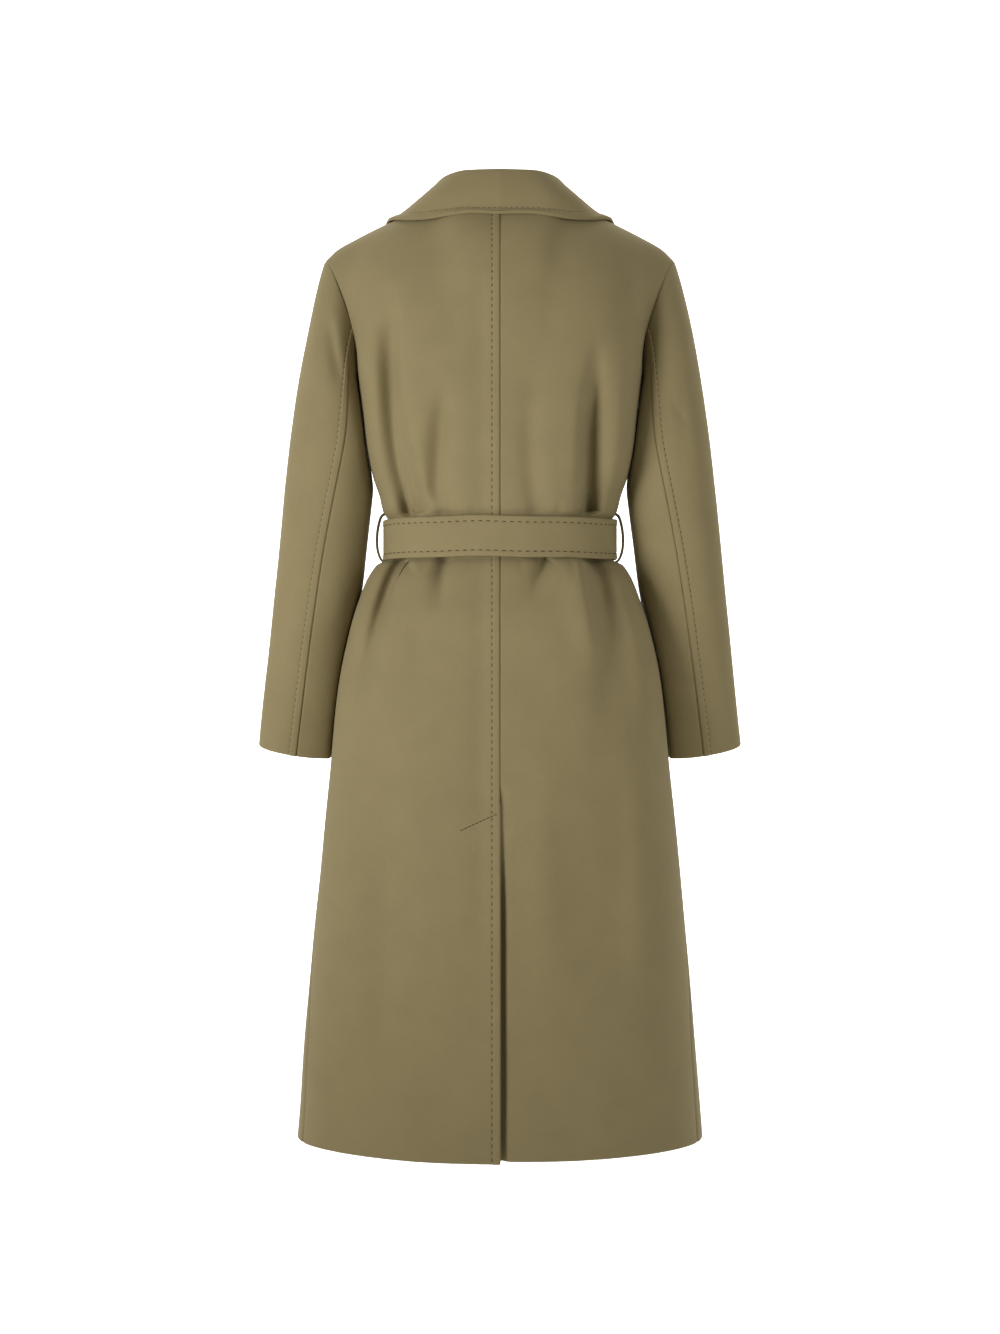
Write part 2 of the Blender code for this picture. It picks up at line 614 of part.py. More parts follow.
def shoulder_normals():
    """Normals along the left shoulder seam, shared by back and front, lengthened so that their edges meet."""
    top = np.ones(SHOULDER_COLUMNS + 1)
    back = surface_normals(back_point, 1, shoulder_shares(NECK_SHARE), top)
    mean = unit(back + surface_normals(front_point, 1, shoulder_shares(0.0), top))
    return mean / np.maximum(np.sum(mean * back, axis=-1, keepdims=True), 0.5)


def add_sleeves(side, word):
    grid, normals = SLEEVE_FORM[0].copy(), SLEEVE_FORM[1].copy()
    _, normals[0], leaving = ARMHOLE_FORM
    grid[0] = grid[0] + leaving * SEAM_GAP * 1.6
    top = [c % ARMHOLE_POINTS for c in range(FRONT_SEAM_COLUMN, ARMHOLE_POINTS + BACK_SEAM_COLUMN + 1)]
    under = list(range(BACK_SEAM_COLUMN, FRONT_SEAM_COLUMN + 1))
    for name, order in (("top", top), ("under", under)):
        outer = drawn_in(grid[:, order], ("first", "last"))
        inner = outer - normals[:, order] * CLOTH
        add_wall(f"sleeve_{word}_{name}", mirrored(outer, side), mirrored(inner, side))


# Backs and fronts
def shoulder_shares(first):
    return first + (1 - first) * np.arange(SHOULDER_COLUMNS + 1) / SHOULDER_COLUMNS


def back_shares(side):
    """The share of every point of a back, row by row. The right one has more columns, for the vent."""
    if side > 0:
        neck = NECK_SHARE * np.arange(NECK_COLUMNS) / NECK_COLUMNS
        return np.tile(np.concatenate([neck, shoulder_shares(NECK_SHARE)]), (len(LEVELS), 1))
    rows = []
    for level in LEVELS:
        height = UNDERARM + min(level, 0.0)
        opened = np.clip((VENT_TOP - height) / (VENT_TOP - VENT_SLANT_END), 0, 1)
        places = np.array(VENT_CLOSED) * (1 - opened) + np.array(VENT_OPEN) * opened
        near = -places / read(BODY, "back_depth", height) / side_angle(height)
        rest = near[-1] + (NECK_SHARE - near[-1]) * np.arange(1, NECK_COLUMNS) / NECK_COLUMNS
        rows.append(np.concatenate([near, rest, shoulder_shares(NECK_SHARE)]))
    return np.array(rows)


def hem_rise(point, side, share):
    """How far a panel's hem lies above the lowest one."""
    if point is front_point:
        return HEM_RISE + 0 * share
    shorter = BACK_HEM_LIFT * ease(1 - share / 0.8) if side < 0 else 0.0
    return HEM_RISE * ease((share - 0.2) / 0.7) + shorter


def add_panel(name, side, point, shares, seams):
    """A back or front as a wall of cloth. Gives the grid of its outside."""
    levels = np.tile(LEVELS[:, None], (1, shares.shape[1]))
    outer = point(side, shares, levels)
    normals = surface_normals(point, side, shares, levels)
    turns = range(UPPER_ROWS, -1, -1) if point is back_point else range(UPPER_ROWS, ARMHOLE_POINTS + 1)
    order = [k % ARMHOLE_POINTS for k in turns]
    normals[-1, -SHOULDER_COLUMNS - 1:] = mirrored(shoulder_normals(), side)
    if point is back_point:
        middle = shares[:, 0] == 0
        normals[middle, 0] = unit(normals[middle, 0] * np.array([0.0, 1.0, 1.0]))
    normals[-UPPER_ROWS - 1:, -1] = mirrored(ARMHOLE_FORM[0][order], side)
    outer[0, :, 2] += hem_rise(point, side, shares[0])
    outer = drawn_in(outer, seams)
    add_wall(name, outer, outer - normals * CLOTH)
    return outer


# Collar and lapels
def collar_form(tree):
    """The side of the collar that is inside its fold, from its right front end to its left one."""
    place = np.linspace(-1, 1, 2 * COLLAR_COLUMNS + 1)
    side = np.where(place < 0, -1.0, 1.0)[:, None] * np.array([1.0, 0, 0]) + np.array([0.0, 1, 1])
    neck, fold, edge = (read_point(COLLAR, np.abs(place), p) * side for p in ("neck_", "fold_", "edge_"))
    out = unit((edge - neck) * np.array([1.0, 1.0, 0.0]))
    down = np.array([0.0, 0.0, -COLLAR_ROLL])
    before, after = fold - out * COLLAR_ROLL + down, fold + out * COLLAR_ROLL + down
    bulge = read(COLLAR, "bulge", np.abs(place))[:, None]
    clear = read(COLLAR, "clear", np.abs(place))
    middle = (after + edge) / 2 + (out + np.array([0.0, 0.0, 1.0])) * bulge
    stations = np.array([neck, (neck + before) / 2, before, fold, after, middle, edge])
    knots = np.arange(len(stations), dtype=float)
    along = np.array(COLLAR_STATIONS)
    grid = np.empty((len(along), len(place), 3))
    for c in range(len(place)):
        for axis in range(3):
            grid[:, c, axis] = smooth(knots, stations[:, c, axis], along)
    for r in range(len(along)):
        if along[r] > 4:
            grid[r] = [lifted(p, tree, gap) for p, gap in zip(grid[r], clear)]
    return grid


def lifted(point, tree, clearance):
    """A point moved out until it clears the cloth below it."""
    near, normal, _, _ = tree.find_nearest(Vector(point))
    normal = np.array(normal)
    if normal @ np.array([near.x, near.y, 0.12]) < 0:
        normal = -normal
    height = (point - np.array(near)) @ normal
    return point + normal * max(0.0, clearance - height)


def on_front(tree, x, z):
    """The point of a front's outside that is seen at x and z from in front."""
    hit = tree.ray_cast(Vector((x, -1.0, z)), Vector((0.0, 1.0, 0.0)))[0]
    if hit is None:
        hit = tree.find_nearest(Vector((x, -0.12, z)))[0]
    return np.array(hit)


def add_lapel(name, side, tree):
    """A lapel, laid on its own front from the roll line outwards."""
    t = np.linspace(0.0, 1.0, LAPEL_ROWS)[:, None]
    start, top = np.array(LAPEL_BREAK[side]), np.array(LAPEL_TOP)
    tip, bow = np.array(LAPEL_TIP), np.array(LAPEL_BOW[side])
    roll = start + (top - start) * t + np.array([LAPEL_INSET, 0.0])
    edge = start + np.array([0.012, -0.002]) + 0 * t
    edge = edge * (1 - t) ** 2 + 2 * bow * t * (1 - t) + tip * t**2
    across = np.linspace(0.0, 1.0, LAPEL_COLUMNS)[None, :, None]
    flat = roll[:, None] * (1 - across) + edge[:, None] * across
    grid = np.array([[on_front(tree, side * x, z) for x, z in row] for row in flat])
    normals = grid_normals(grid)
    normals *= -np.sign(normals[..., 1:2].mean())
    under = grid + normals * LAPEL_CLEARANCE
    add_wall(name, under + normals * CLOTH, under)


# Belt, knot, hanging ends and loops
def belt_radius(angle):
    return ring_radius(angle, BELT_MIDDLE + 0 * angle) + BELT_OFFSET


def add_belt():
    angle = np.radians(np.arange(0, 360, 7.5))
    half = BELT_WIDTH / 2
    profile = np.array([(0, -1), (0.7, -1), (1, -0.92), (1, 0.92), (0.7, 1), (0, 1)])
    radius = belt_radius(angle)[:, None] + profile[None, :, 0] * BELT_CLOTH
    x, y = radius * np.sin(angle)[:, None], radius * np.cos(angle)[:, None]
    z = BELT_MIDDLE + half * profile[None, :, 1] + 0 * radius
    add_ring("belt", np.stack([x, y, z], axis=-1), True)


def add_knot():
    place = np.array([-1, -0.9, -0.65, -0.3, 0, 0.3, 0.65, 0.9, 1.0])
    size = np.array([0.70, 0.84, 0.95, 1.0, 1.0, 1.0, 0.95, 0.84, 0.70])
    angle = np.radians(np.arange(0, 360, 22.5))
    round_off = 0.6
    deep = np.sign(np.cos(angle)) * np.abs(np.cos(angle)) ** round_off
    tall = np.sign(np.sin(angle)) * np.abs(np.sin(angle)) ** round_off
    seat = -belt_radius(np.array(math.pi)) - BELT_CLOTH - SEAM_GAP - KNOT_HALF[1]
    x = KNOT_X + KNOT_HALF[0] * place[:, None] + 0 * deep
    y = seat + KNOT_HALF[1] * size[:, None] * deep
    z = BELT_MIDDLE + KNOT_HALF[2] * size[:, None] * tall
    add_ring("belt_knot", np.stack([x, y, z], axis=-1), False)


def add_tail(name, side, tree):
    """A hanging end of the belt, against the skirt."""
    down = TAIL_LENGTH[side] * np.linspace(0.0, 1.0, TAIL_ROWS) ** 1.5
    slant = math.radians(TAIL_SLANT) * side
    landed = TAIL_LANDED[side]
    clearance = landed + (TAIL_CLEARANCE[side] - landed) * (1 - ease((down - 0.10) / 0.10))
    top = BELT_MIDDLE - KNOT_HALF[2] - TAIL_GAP[side]
    rows = []
    for d, gap in zip(down, clearance):
        x = KNOT_X + TAIL_START * side + d * math.sin(slant)
        z = top - d * math.cos(slant)
        reach = math.cos(slant) * BELT_WIDTH / 2
        tilt = math.sin(slant) * BELT_WIDTH / 2 * min(1.0, d / 0.05)
        y = min(on_front(tree, x + k * reach, z)[1] for k in (-1, 0, 1)) - gap
        rows.append([(x + k * reach, y, z + k * tilt) for k in (-1, 0, 1)])
    under = np.array(rows)
    normals = grid_normals(under)
    normals *= -np.sign(normals[..., 1:2].mean())
    add_wall(name, under + normals * BELT_CLOTH, under)


def add_loop(name, side):
    """A narrow strip over the belt on the side seam."""
    quarter = np.array(math.pi / 2)
    belt = float(belt_radius(quarter)) + BELT_CLOTH
    ends = [float(read(BODY, "half_width", z)) + SEAM_GAP * 1.5 for z in (LOOP_TOP, LOOP_BOTTOM)]
    height = np.array([LOOP_BOTTOM, -0.4290, -0.4170, -0.4060, -0.3910, -0.3770, LOOP_TOP])
    stand = np.array([ends[1], belt + 0.0042, belt + LOOP_STAND_OFF, belt + LOOP_STAND_OFF + 0.0006,
                      belt + LOOP_STAND_OFF - 0.0008, belt + 0.0030, ends[0]])
    z = np.linspace(LOOP_TOP, LOOP_BOTTOM, LOOP_ROWS)
    x = smooth(height, stand, z)
    inner = np.array([[(side * px, k * LOOP_WIDTH / 2, pz) for k in (-1, 1)] for px, pz in zip(x, z)])
    path = np.stack([x, z], axis=-1)
    lean = unit(np.gradient(path, axis=0))
    normals = np.stack([-lean[:, 1] * side, 0 * x, lean[:, 0]], axis=-1)[:, None]
    add_wall(name, inner + normals * LOOP_CLOTH, inner)


def main():
    for obj in list(bpy.data.objects):
        bpy.data.objects.remove(obj)
    outsides = {}
    for side, word in ((1, "left"), (-1, "right")):
        seams = ("first", "last", "top")
        outsides["back", side] = add_panel(f"back_{word}", side, back_point, back_shares(side), seams)
        shares = np.tile(shoulder_shares(0.0), (len(LEVELS), 1))
        outsides["front", side] = add_panel(f"front_{word}", side, front_point, shares, seams[1:])
        add_sleeves(side, word)
    body = tree_of(*outsides.values())
    fronts = tree_of(outsides["front", 1], outsides["front", -1])
    inside = collar_form(body)
    normals = grid_normals(inside)
    normals *= np.sign(normals[-3, COLLAR_COLUMNS, 1])
    add_wall("collar", inside + normals * CLOTH, inside)
    add_belt()
    add_knot()
    for side, word in ((1, "left"), (-1, "right")):
        add_lapel(f"lapel_{word}", side, tree_of(outsides["front", side]))
        add_tail(f"belt_tail_{word}", side, fronts)
        add_loop(f"belt_loop_{word}", side)


SLEEVE_FORM = sleeve_form()
ARMHOLE_FORM = armhole_normals()
main()
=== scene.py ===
"""The belted wool coat as it is seen: fine cloth, seams and stitching on the form of its solids.

Metres, +Z up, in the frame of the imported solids. The front faces -Y and the coat's left is +X.
"""

import math

import bpy
import numpy as np
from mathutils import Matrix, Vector
from mathutils.bvhtree import BVHTree


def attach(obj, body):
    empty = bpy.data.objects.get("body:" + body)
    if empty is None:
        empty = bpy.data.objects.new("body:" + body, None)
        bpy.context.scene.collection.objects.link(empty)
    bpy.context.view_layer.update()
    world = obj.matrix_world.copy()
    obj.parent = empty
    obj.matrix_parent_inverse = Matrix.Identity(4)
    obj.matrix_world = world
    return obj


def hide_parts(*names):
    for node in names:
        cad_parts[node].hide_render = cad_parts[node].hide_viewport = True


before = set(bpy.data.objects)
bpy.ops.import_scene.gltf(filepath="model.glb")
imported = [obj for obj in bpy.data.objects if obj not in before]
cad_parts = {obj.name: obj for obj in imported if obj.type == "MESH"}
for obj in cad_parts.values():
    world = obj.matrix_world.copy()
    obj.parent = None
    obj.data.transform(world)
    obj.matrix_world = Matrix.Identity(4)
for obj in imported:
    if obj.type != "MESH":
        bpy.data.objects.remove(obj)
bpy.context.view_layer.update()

MM = 0.001

# Sizes of the coat
CLOTH = 0.0025  # one layer of coating wool
BELT_CLOTH = 0.0045  # the belt is two layers, turned in at its edges
SEAM_GAP = 0.0003
LAP = CLOTH + 0.0020  # how far a piece that passes under another lies below it
HEM = -1.118
UNDERARM = -0.205
BELT_MIDDLE = -0.4025
BELT_WIDTH = 0.049
BELT_OFFSET = 0.0032  # from the waist's section to the inside of the belt
SLEEVE_CLEARANCE = 0.0022
NECK_POINT = (0.083, -0.004, 0.0)  # where the shoulder seam meets the neck
SHOULDER_TIP = (0.2105, -0.004, -0.0675)
FRONT_OVERLAP = 0.085  # how far each front passes the centre front
ROLL_BREAK = -0.345  # where the upper lapel starts to turn back
VENT_TOP = -0.712
VENT_SLANT_END = -0.742  # the underlap is cut on a slant at its top
VENT_UNDERLAP = 0.045
BACK_HEM_LIFT = 0.0025  # the right back hangs this much shorter at the vent
HEM_RISE = 0.004  # the hem is this much higher at the sides and front than at the centre back
HEM_LIFT_SHARE = 0.8  # the share of the right back that hangs shorter
HEM_RISE_START = 0.2  # where a back's hem starts to rise, as a share, and over which share it does
HEM_RISE_SPAN = 0.7
HEM_BLEND = 0.05  # the height over which a panel follows its hem


def columns(names, rows):
    """A table as a dictionary of named columns."""
    return {name: np.array(column, float) for name, column in zip(names.split(), zip(*rows))}


# Level sections through the body, from the hem to the underarm
BODY = columns("height half_width back_depth front_depth squareness", (
    (HEM, 0.2424, 0.178, 0.172, 2.20),
    (-1.000, 0.2343, 0.171, 0.166, 2.25),
    (-0.850, 0.2204, 0.162, 0.157, 2.35),
    (-0.690, 0.2050, 0.152, 0.148, 2.50),
    (-0.611, 0.1970, 0.147, 0.143, 2.60),
    (-0.565, 0.1908, 0.143, 0.139, 2.65),
    (-0.523, 0.1820, 0.138, 0.134, 2.65),
    (-0.498, 0.1754, 0.134, 0.130, 2.60),
    (-0.478, 0.1690, 0.129, 0.126, 2.50),
    (-0.450, 0.1585, 0.120, 0.119, 2.40),
    (-0.438, 0.1515, 0.114, 0.114, 2.30),
    (-0.431, 0.1455, 0.1085, 0.1100, 2.25),
    (BELT_MIDDLE - BELT_WIDTH / 2, 0.1342, 0.1036, 0.1070, 2.20),
    (BELT_MIDDLE, 0.1325, 0.1025, 0.1060, 2.20),
    (BELT_MIDDLE + BELT_WIDTH / 2, 0.1340, 0.1035, 0.1070, 2.20),
    (-0.370, 0.1390, 0.1080, 0.1110, 2.30),
    (-0.350, 0.1440, 0.113, 0.117, 2.50),
    (-0.328, 0.1515, 0.118, 0.123, 2.70),
    (-0.287, 0.1602, 0.125, 0.132, 2.90),
    (-0.256, 0.1632, 0.128, 0.137, 3.00),
    (UNDERARM, 0.1690, 0.129, 0.136, 3.00),
))
SIDE_SEAM = columns("height angle", (
    (HEM, 76.5),
    (-1.00, 77.5),
    (-0.906, 81.0),
    (-0.82, 83.5),
    (-0.72, 88.0),
    (-0.40, 90.0),
    (UNDERARM, 88.0),
))

# Soft troughs that the belt draws in. Each runs from its start, at the belt, to its end, where it fades out.
FOLDS = columns("start end start_angle middle_angle end_angle depth start_width end_width", (
    (-0.380, -0.110, 59.5, 53.0, 46.5, 0.010, 0.009, 0.012),
    (-0.380, -0.220, 37.0, 31.5, 27.5, 0.006, 0.009, 0.014),
    (-0.380, -0.160, -56.5, -46.5, -48.5, 0.011, 0.010, 0.014),
    (-0.380, -0.180, -23.5, -15.5, -20.0, 0.004, 0.009, 0.012),
    (-0.425, -0.600, 62.5, 57.5, 59.0, 0.013, 0.010, 0.014),
    (-0.425, -0.490, 34.0, 33.5, 31.5, 0.006, 0.009, 0.012),
    (-0.425, -0.760, -60.0, -47.0, -43.5, 0.013, 0.011, 0.024),
    (-0.425, -0.490, -28.5, -18.0, -15.0, 0.006, 0.009, 0.012),
    (-0.380, -0.230, 114.0, 116.0, 112.0, 0.009, 0.009, 0.013),
    (-0.380, -0.240, -112.0, -114.0, -110.0, 0.009, 0.009, 0.013),
    (-0.425, -0.600, 112.0, 114.0, 112.0, 0.011, 0.009, 0.014),
    (-0.425, -0.620, -114.0, -112.0, -110.0, 0.011, 0.009, 0.014),
))
FOLD_LEAD = 0.012  # a fold rises over this height, hidden by the belt

# The long, shallow waves of the skirt
WAVES = columns("top bottom angle depth width", (
    (-0.70, -1.00, 43.0, 0.0045, 0.024),
    (-0.62, -1.05, -39.0, 0.0060, 0.030),
    (-0.65, -1.08, 122.0, 0.0050, 0.026),
    (-0.65, -1.08, -124.0, 0.0050, 0.026),
))

# The back neck, from the centre back to the neck point, then the shoulder seam to its tip
BACK_NECK = columns("share x y z", (
    (0.00, 0.000, 0.056, -0.0120),
    (0.35, 0.032, 0.0525, -0.0110),
    (0.70, 0.062, 0.036, -0.0070),
    (1.00, *NECK_POINT),
))
SHOULDER = columns("share x y z", (
    (0.00, *NECK_POINT),
    (0.40, 0.1332, -0.004, -0.0218),
    (0.58, 0.1540, -0.004, -0.0318),
    (0.74, 0.1735, -0.004, -0.0412),
    (0.90, 0.1950, -0.004, -0.0528),
    (1.00, *SHOULDER_TIP),
))
NECK_SHARE = 4 / 15  # where the neck ends across a back's top
# How far the cloth leans in where it reaches the neck and shoulder, and how the armhole leaves its two ends
NECK_LEAN = 78.0
SHOULDER_LEAN = 88.0
COLUMN_PULL = 0.38  # length of a column's handles, as a share of its chord
BACK_ARMHOLE = {"underarm": (-0.004, 0.045, 0.045), "tip": (-0.008, 0.050, 0.0)}
FRONT_ARMHOLE = {"underarm": (-0.008, -0.042, 0.045), "tip": (-0.010, -0.045, 0.0)}
ARMHOLE_REACH = 0.7  # the share of a panel past which its columns turn to follow the armhole
CHEST_SHARE = 0.5  # the share of a front that turns with its roll line

# The front edge's distance past the centre front. Above the underarm it is the lapel's roll line.
FRONT_EDGE = columns("height overlap", (
    (HEM, FRONT_OVERLAP),
    (-0.46, FRONT_OVERLAP),
    (-0.40, 0.078),
    (ROLL_BREAK, 0.060),
    (UNDERARM, 0.0),
    (0.0, -NECK_POINT[0]),
))
LAP_MARGIN = 0.008
LAP_FADE = 0.040

VENT_DROP = columns("height drop lift", (
    (HEM, 0.0090, 0.0040),
    (-0.85, 0.0090, 0.0030),
    (VENT_SLANT_END, 0.0040, 0.0),
    (VENT_TOP, 0.0034, 0.0),
    (-0.690, 0.0, 0.0),
))
VENT_LIFT_WIDTH = 0.05
VENT_DROP_START = 0.002  # from the centre back
VENT_DROP_WIDTH = 0.009

# Level sections through a sleeve, below the upper arm
SLEEVE = columns("height centre_x centre_y half_width half_depth", (
    (-0.665, 0.2412, -0.047, 0.0530, 0.0490),
    (-0.570, 0.2309, -0.030, 0.0527, 0.0530),
    (-0.474, 0.2200, -0.015, 0.0522, 0.0575),
    (-0.380, 0.2094, -0.006, 0.0526, 0.0610),
    (-0.300, 0.2008, -0.004, 0.0530, 0.0630),
))
SLEEVE_SQUARENESS = 2.2
UPPER_ARM = -0.30
CUFF = -0.6533
CUFF_SLANT = 0.007  # the cuff is higher on its outer side
CUFF_DIP = 0.008  # and lower at its back
BACK_SEAM_TURN = 5 / 14  # places of the sleeve's two seams on the armhole
FRONT_SEAM_TURN = 9 / 14
SLEEVE_PULL = 0.36
# How the cap leaves the armhole: outwards, less so under the arm, towards the back and front, and down
CAP_OUT = 0.013
CAP_UNDER = 0.012
CAP_SWING = 0.016
CAP_DOWN = 0.036
UNDERARM_SPAN = 0.12  # as a share of the armhole
CAP_PROBE = 0.05  # a level just past the armhole
CAP_SETTLE = 0.25  # the share of the cap over which it comes clear of the body
TUBE_STEP = 0.02  # below the upper arm, where the sleeve's direction is taken
BACK_SEAM_ANGLE = columns("height angle", ((-0.665, 86.0), (-0.43, 94.0), (-0.30, 104.0)))
FRONT_SEAM_ANGLE = columns("height angle", ((-0.665, 238.0), (-0.43, 236.0), (-0.30, 234.0)))

# The collar's left half, from the centre back to its front end: neck seam, fold line and outer edge
COLLAR = columns("share neck_x neck_y neck_z fold_x fold_y fold_z edge_x edge_y edge_z clear bulge", (
    (0.00, 0.000, 0.0560, -0.0105, 0.000, 0.0680, 0.0290, 0.000, 0.0840, -0.0298, 0.0015, 0.003),
    (0.17, 0.032, 0.0525, -0.0095, 0.036, 0.0620, 0.0290, 0.058, 0.0780, -0.0292, 0.0015, 0.003),
    (0.34, 0.062, 0.0360, -0.0055, 0.063, 0.0420, 0.0255, 0.106, 0.0520, -0.0272, 0.0024, 0.002),
    (0.50, 0.083, -0.0040, 0.0020, 0.079, -0.0020, 0.0150, 0.131, 0.0040, -0.0220, 0.0022, 0.000),
    (0.75, 0.0745, -0.0180, -0.0190, 0.077, -0.0230, -0.0090, 0.140, -0.0380, -0.0330, 0.0030, 0.000),
    (1.00, 0.0620, -0.0400, -0.0520, 0.065, -0.0460, -0.0470, 0.138, -0.0640, -0.0620, 0.0042, 0.000),
))
COLLAR_ROLL = 0.0035

# The lapels in front view, x being towards their own side: roll line and outer edge, from break to top
LAPEL_TOP = (0.0585, -0.0600)
LAPEL_TIP = (0.166, -0.100)
LAPEL_BREAK = {1: (0.006, -0.196), -1: (-0.058, ROLL_BREAK + 0.003)}  # the left one ends at the right front
LAPEL_BOW = {1: (0.060, -0.190), -1: (0.070, -0.250)}  # pulls the outer edge into a curve
LAPEL_CLEARANCE = 0.0034
LAPEL_INSET = 0.0015

# The belt's knot and hanging ends
KNOT_X = 0.018
KNOT_HALF = (0.030, 0.0115, 0.0285)
TAIL_LENGTH = {1: 0.33, -1: 0.36}
TAIL_SLANT = 7.0
TAIL_START = 0.012
TAIL_CLEARANCE = {1: 0.0100, -1: 0.0024}  # the left end leaves the knot over the right one
TAIL_LANDED = {1: 0.0030, -1: 0.0007}
TAIL_GAP = {1: 0.0030, -1: 0.0004}  # from the knot's underside to the top of an end
# Belt loops on the side seams: how far the strip stands out from the belt, from its lower end up
LOOP_WIDTH = 0.009
LOOP_CLOTH = 0.0030
LOOP = columns("height stand", (
    (-0.4285, -0.0040),
    (-0.4255, 0.0006),
    (-0.4200, 0.0034),
    (-0.4120, 0.0054),
    (-0.4030, 0.0060),
    (-0.3930, 0.0054),
    (-0.3820, 0.0034),
    (-0.3745, 0.0008),
    (-0.3705, -0.0050),
))


def smooth(knots, values, at):
    """Values between knots on a cubic curve that never overshoots them."""
    step = np.diff(knots)
    slope = np.diff(values) / step
    rising = slope[1:] * slope[:-1] > 0
    before = np.where(rising, slope[:-1], 1.0)
    after = np.where(rising, slope[1:], 1.0)
    first = 2 * step[1:] + step[:-1]
    second = step[1:] + 2 * step[:-1]
    inner = np.where(rising, (first + second) / (first / before + second / after), 0.0)
    tangent = np.concatenate([slope[:1], inner, slope[-1:]])
    at = np.clip(at, knots[0], knots[-1])
    k = np.clip(np.searchsorted(knots, at, side="right") - 1, 0, len(step) - 1)
    t = (at - knots[k]) / step[k]
    start = values[k] * (1 + 2 * t) * (1 - t) ** 2 + tangent[k] * step[k] * t * (1 - t) ** 2
    return start + values[k + 1] * t * t * (3 - 2 * t) - tangent[k + 1] * step[k] * t * t * (1 - t)


def read(table, name, at):
    """A named column of a table, at places along its first column."""
    return smooth(next(iter(table.values())), table[name], at)


def read_point(table, at, prefix=""):
    return np.stack([read(table, prefix + axis, at) for axis in "xyz"], axis=-1)


def ease(t):
    """0 before 0, 1 after 1, and a smooth step between."""
    t = np.clip(t, 0.0, 1.0)
    return t * t * (3 - 2 * t)


def unit(vectors):
    return vectors / np.maximum(np.linalg.norm(vectors, axis=-1, keepdims=True), 1e-12)


def xyz(x, y, z):
    """Points from their coordinates."""
    return np.stack(np.broadcast_arrays(x, y, z), axis=-1)


def distance_along(points, axis):
    """The distance run along an axis of a grid of points."""
    steps = np.linalg.norm(np.diff(points, axis=axis), axis=-1)
    start = np.zeros_like(np.take(steps, [0], axis=axis))
    return np.concatenate([start, np.cumsum(steps, axis=axis)], axis=axis)


def bezier(start, leave, arrive, end, t):
    t = np.asarray(t)[..., None]
    return start * (1 - t) ** 3 + 3 * leave * t * (1 - t) ** 2 + 3 * arrive * t * t * (1 - t) + end * t**3


# The body's form
SLOPE_STEP = 1e-3  # to both sides of a place, where a slope is taken
RISE_STEP = 0.004


def ring_radius(angle, height):
    """Distance from the body's axis to the plain section, before folds."""
    sine, cosine = np.abs(np.sin(angle)), np.cos(angle)
    depth = np.where(cosine >= 0, read(BODY, "back_depth", height), read(BODY, "front_depth", height))
    power = read(BODY, "squareness", height)
    across = sine / read(BODY, "half_width", height)
    return (across**power + (np.abs(cosine) / depth) ** power) ** (-1 / power)


def ring_point(angle, height):
    radius = ring_radius(angle, height)
    return xyz(radius * np.sin(angle), radius * np.cos(angle), height)


def ring_normal(angle, height):
    across = ring_point(angle + SLOPE_STEP, height) - ring_point(angle - SLOPE_STEP, height)
    up = ring_point(angle, height + SLOPE_STEP) - ring_point(angle, height - SLOPE_STEP)
    return unit(np.cross(up, across))


def side_angle(height):
    return np.radians(read(SIDE_SEAM, "angle", height))


def turn_between(angle, other):
    """The signed turn from one angle to another, the short way round."""
    return (angle - other + math.pi) % (2 * math.pi) - math.pi


def fold_depth(angle, height):
    """How far folds and waves draw the cloth in, at an angle that is negative on the right."""
    depth = np.zeros_like(angle)
    radius = ring_radius(angle, np.clip(height, HEM, UNDERARM))
    for k in range(len(FOLDS["start"])):
        fold = {name: column[k] for name, column in FOLDS.items()}
        t = (height - fold["start"]) / (fold["end"] - fold["start"])
        lead = FOLD_LEAD / abs(fold["end"] - fold["start"])
        along = np.clip(t, 0.0, 1.0)
        centre = (
            fold["start_angle"] * (1 - along) * (1 - 2 * along)
            + fold["middle_angle"] * 4 * along * (1 - along)
            + fold["end_angle"] * along * (2 * along - 1)
        )
        width = fold["start_width"] + (fold["end_width"] - fold["start_width"]) * along
        aside = turn_between(angle, np.radians(centre)) * radius / width
        depth += fold["depth"] * ease(1 + t / lead) * (1 - along**2) ** 1.5 * np.exp(-0.5 * aside**2)
    for k in range(len(WAVES["top"])):
        wave = {name: column[k] for name, column in WAVES.items()}
        t = np.clip((height - wave["bottom"]) / (wave["top"] - wave["bottom"]), 0.0, 1.0)
        aside = turn_between(angle, math.radians(wave["angle"])) * radius / wave["width"]
        depth += wave["depth"] * np.sin(math.pi * t) ** 2 * np.exp(-0.5 * aside**2)
    return depth


def mirrored(points, side):
    return points * np.array([side, 1.0, 1.0])


def upper_column(foot, rise, top, lean, handles, share, level):
    """A column of cloth from the underarm level up to the neck or shoulder.

    It leaves the section below along its rise, arrives along its lean, and follows the armhole at share 1.
    """
    pull = COLUMN_PULL * np.linalg.norm(top - foot, axis=-1, keepdims=True)
    follow = ease((share - ARMHOLE_REACH) / (1 - ARMHOLE_REACH))[..., None]
    leave = foot + (1 - follow) * rise * pull + follow * np.array(handles["underarm"])
    arrive = top - (1 - follow) * lean * pull + follow * np.array(handles["tip"])
    return bezier(foot, leave, arrive, top, level)


def ring_rise(angle):
    """The direction in which the body's cloth passes the underarm."""
    below = UNDERARM - RISE_STEP
    return unit(ring_point(angle, UNDERARM + 0 * angle) - ring_point(angle, below + 0 * angle))


def folded(points, angle, side):
    """Points moved in by the folds, on the left (1) or right (-1)."""
    outward = xyz(np.sin(angle), np.cos(angle), 0.0)
    return mirrored(points - outward * fold_depth(side * angle, points[..., 2])[..., None], side)


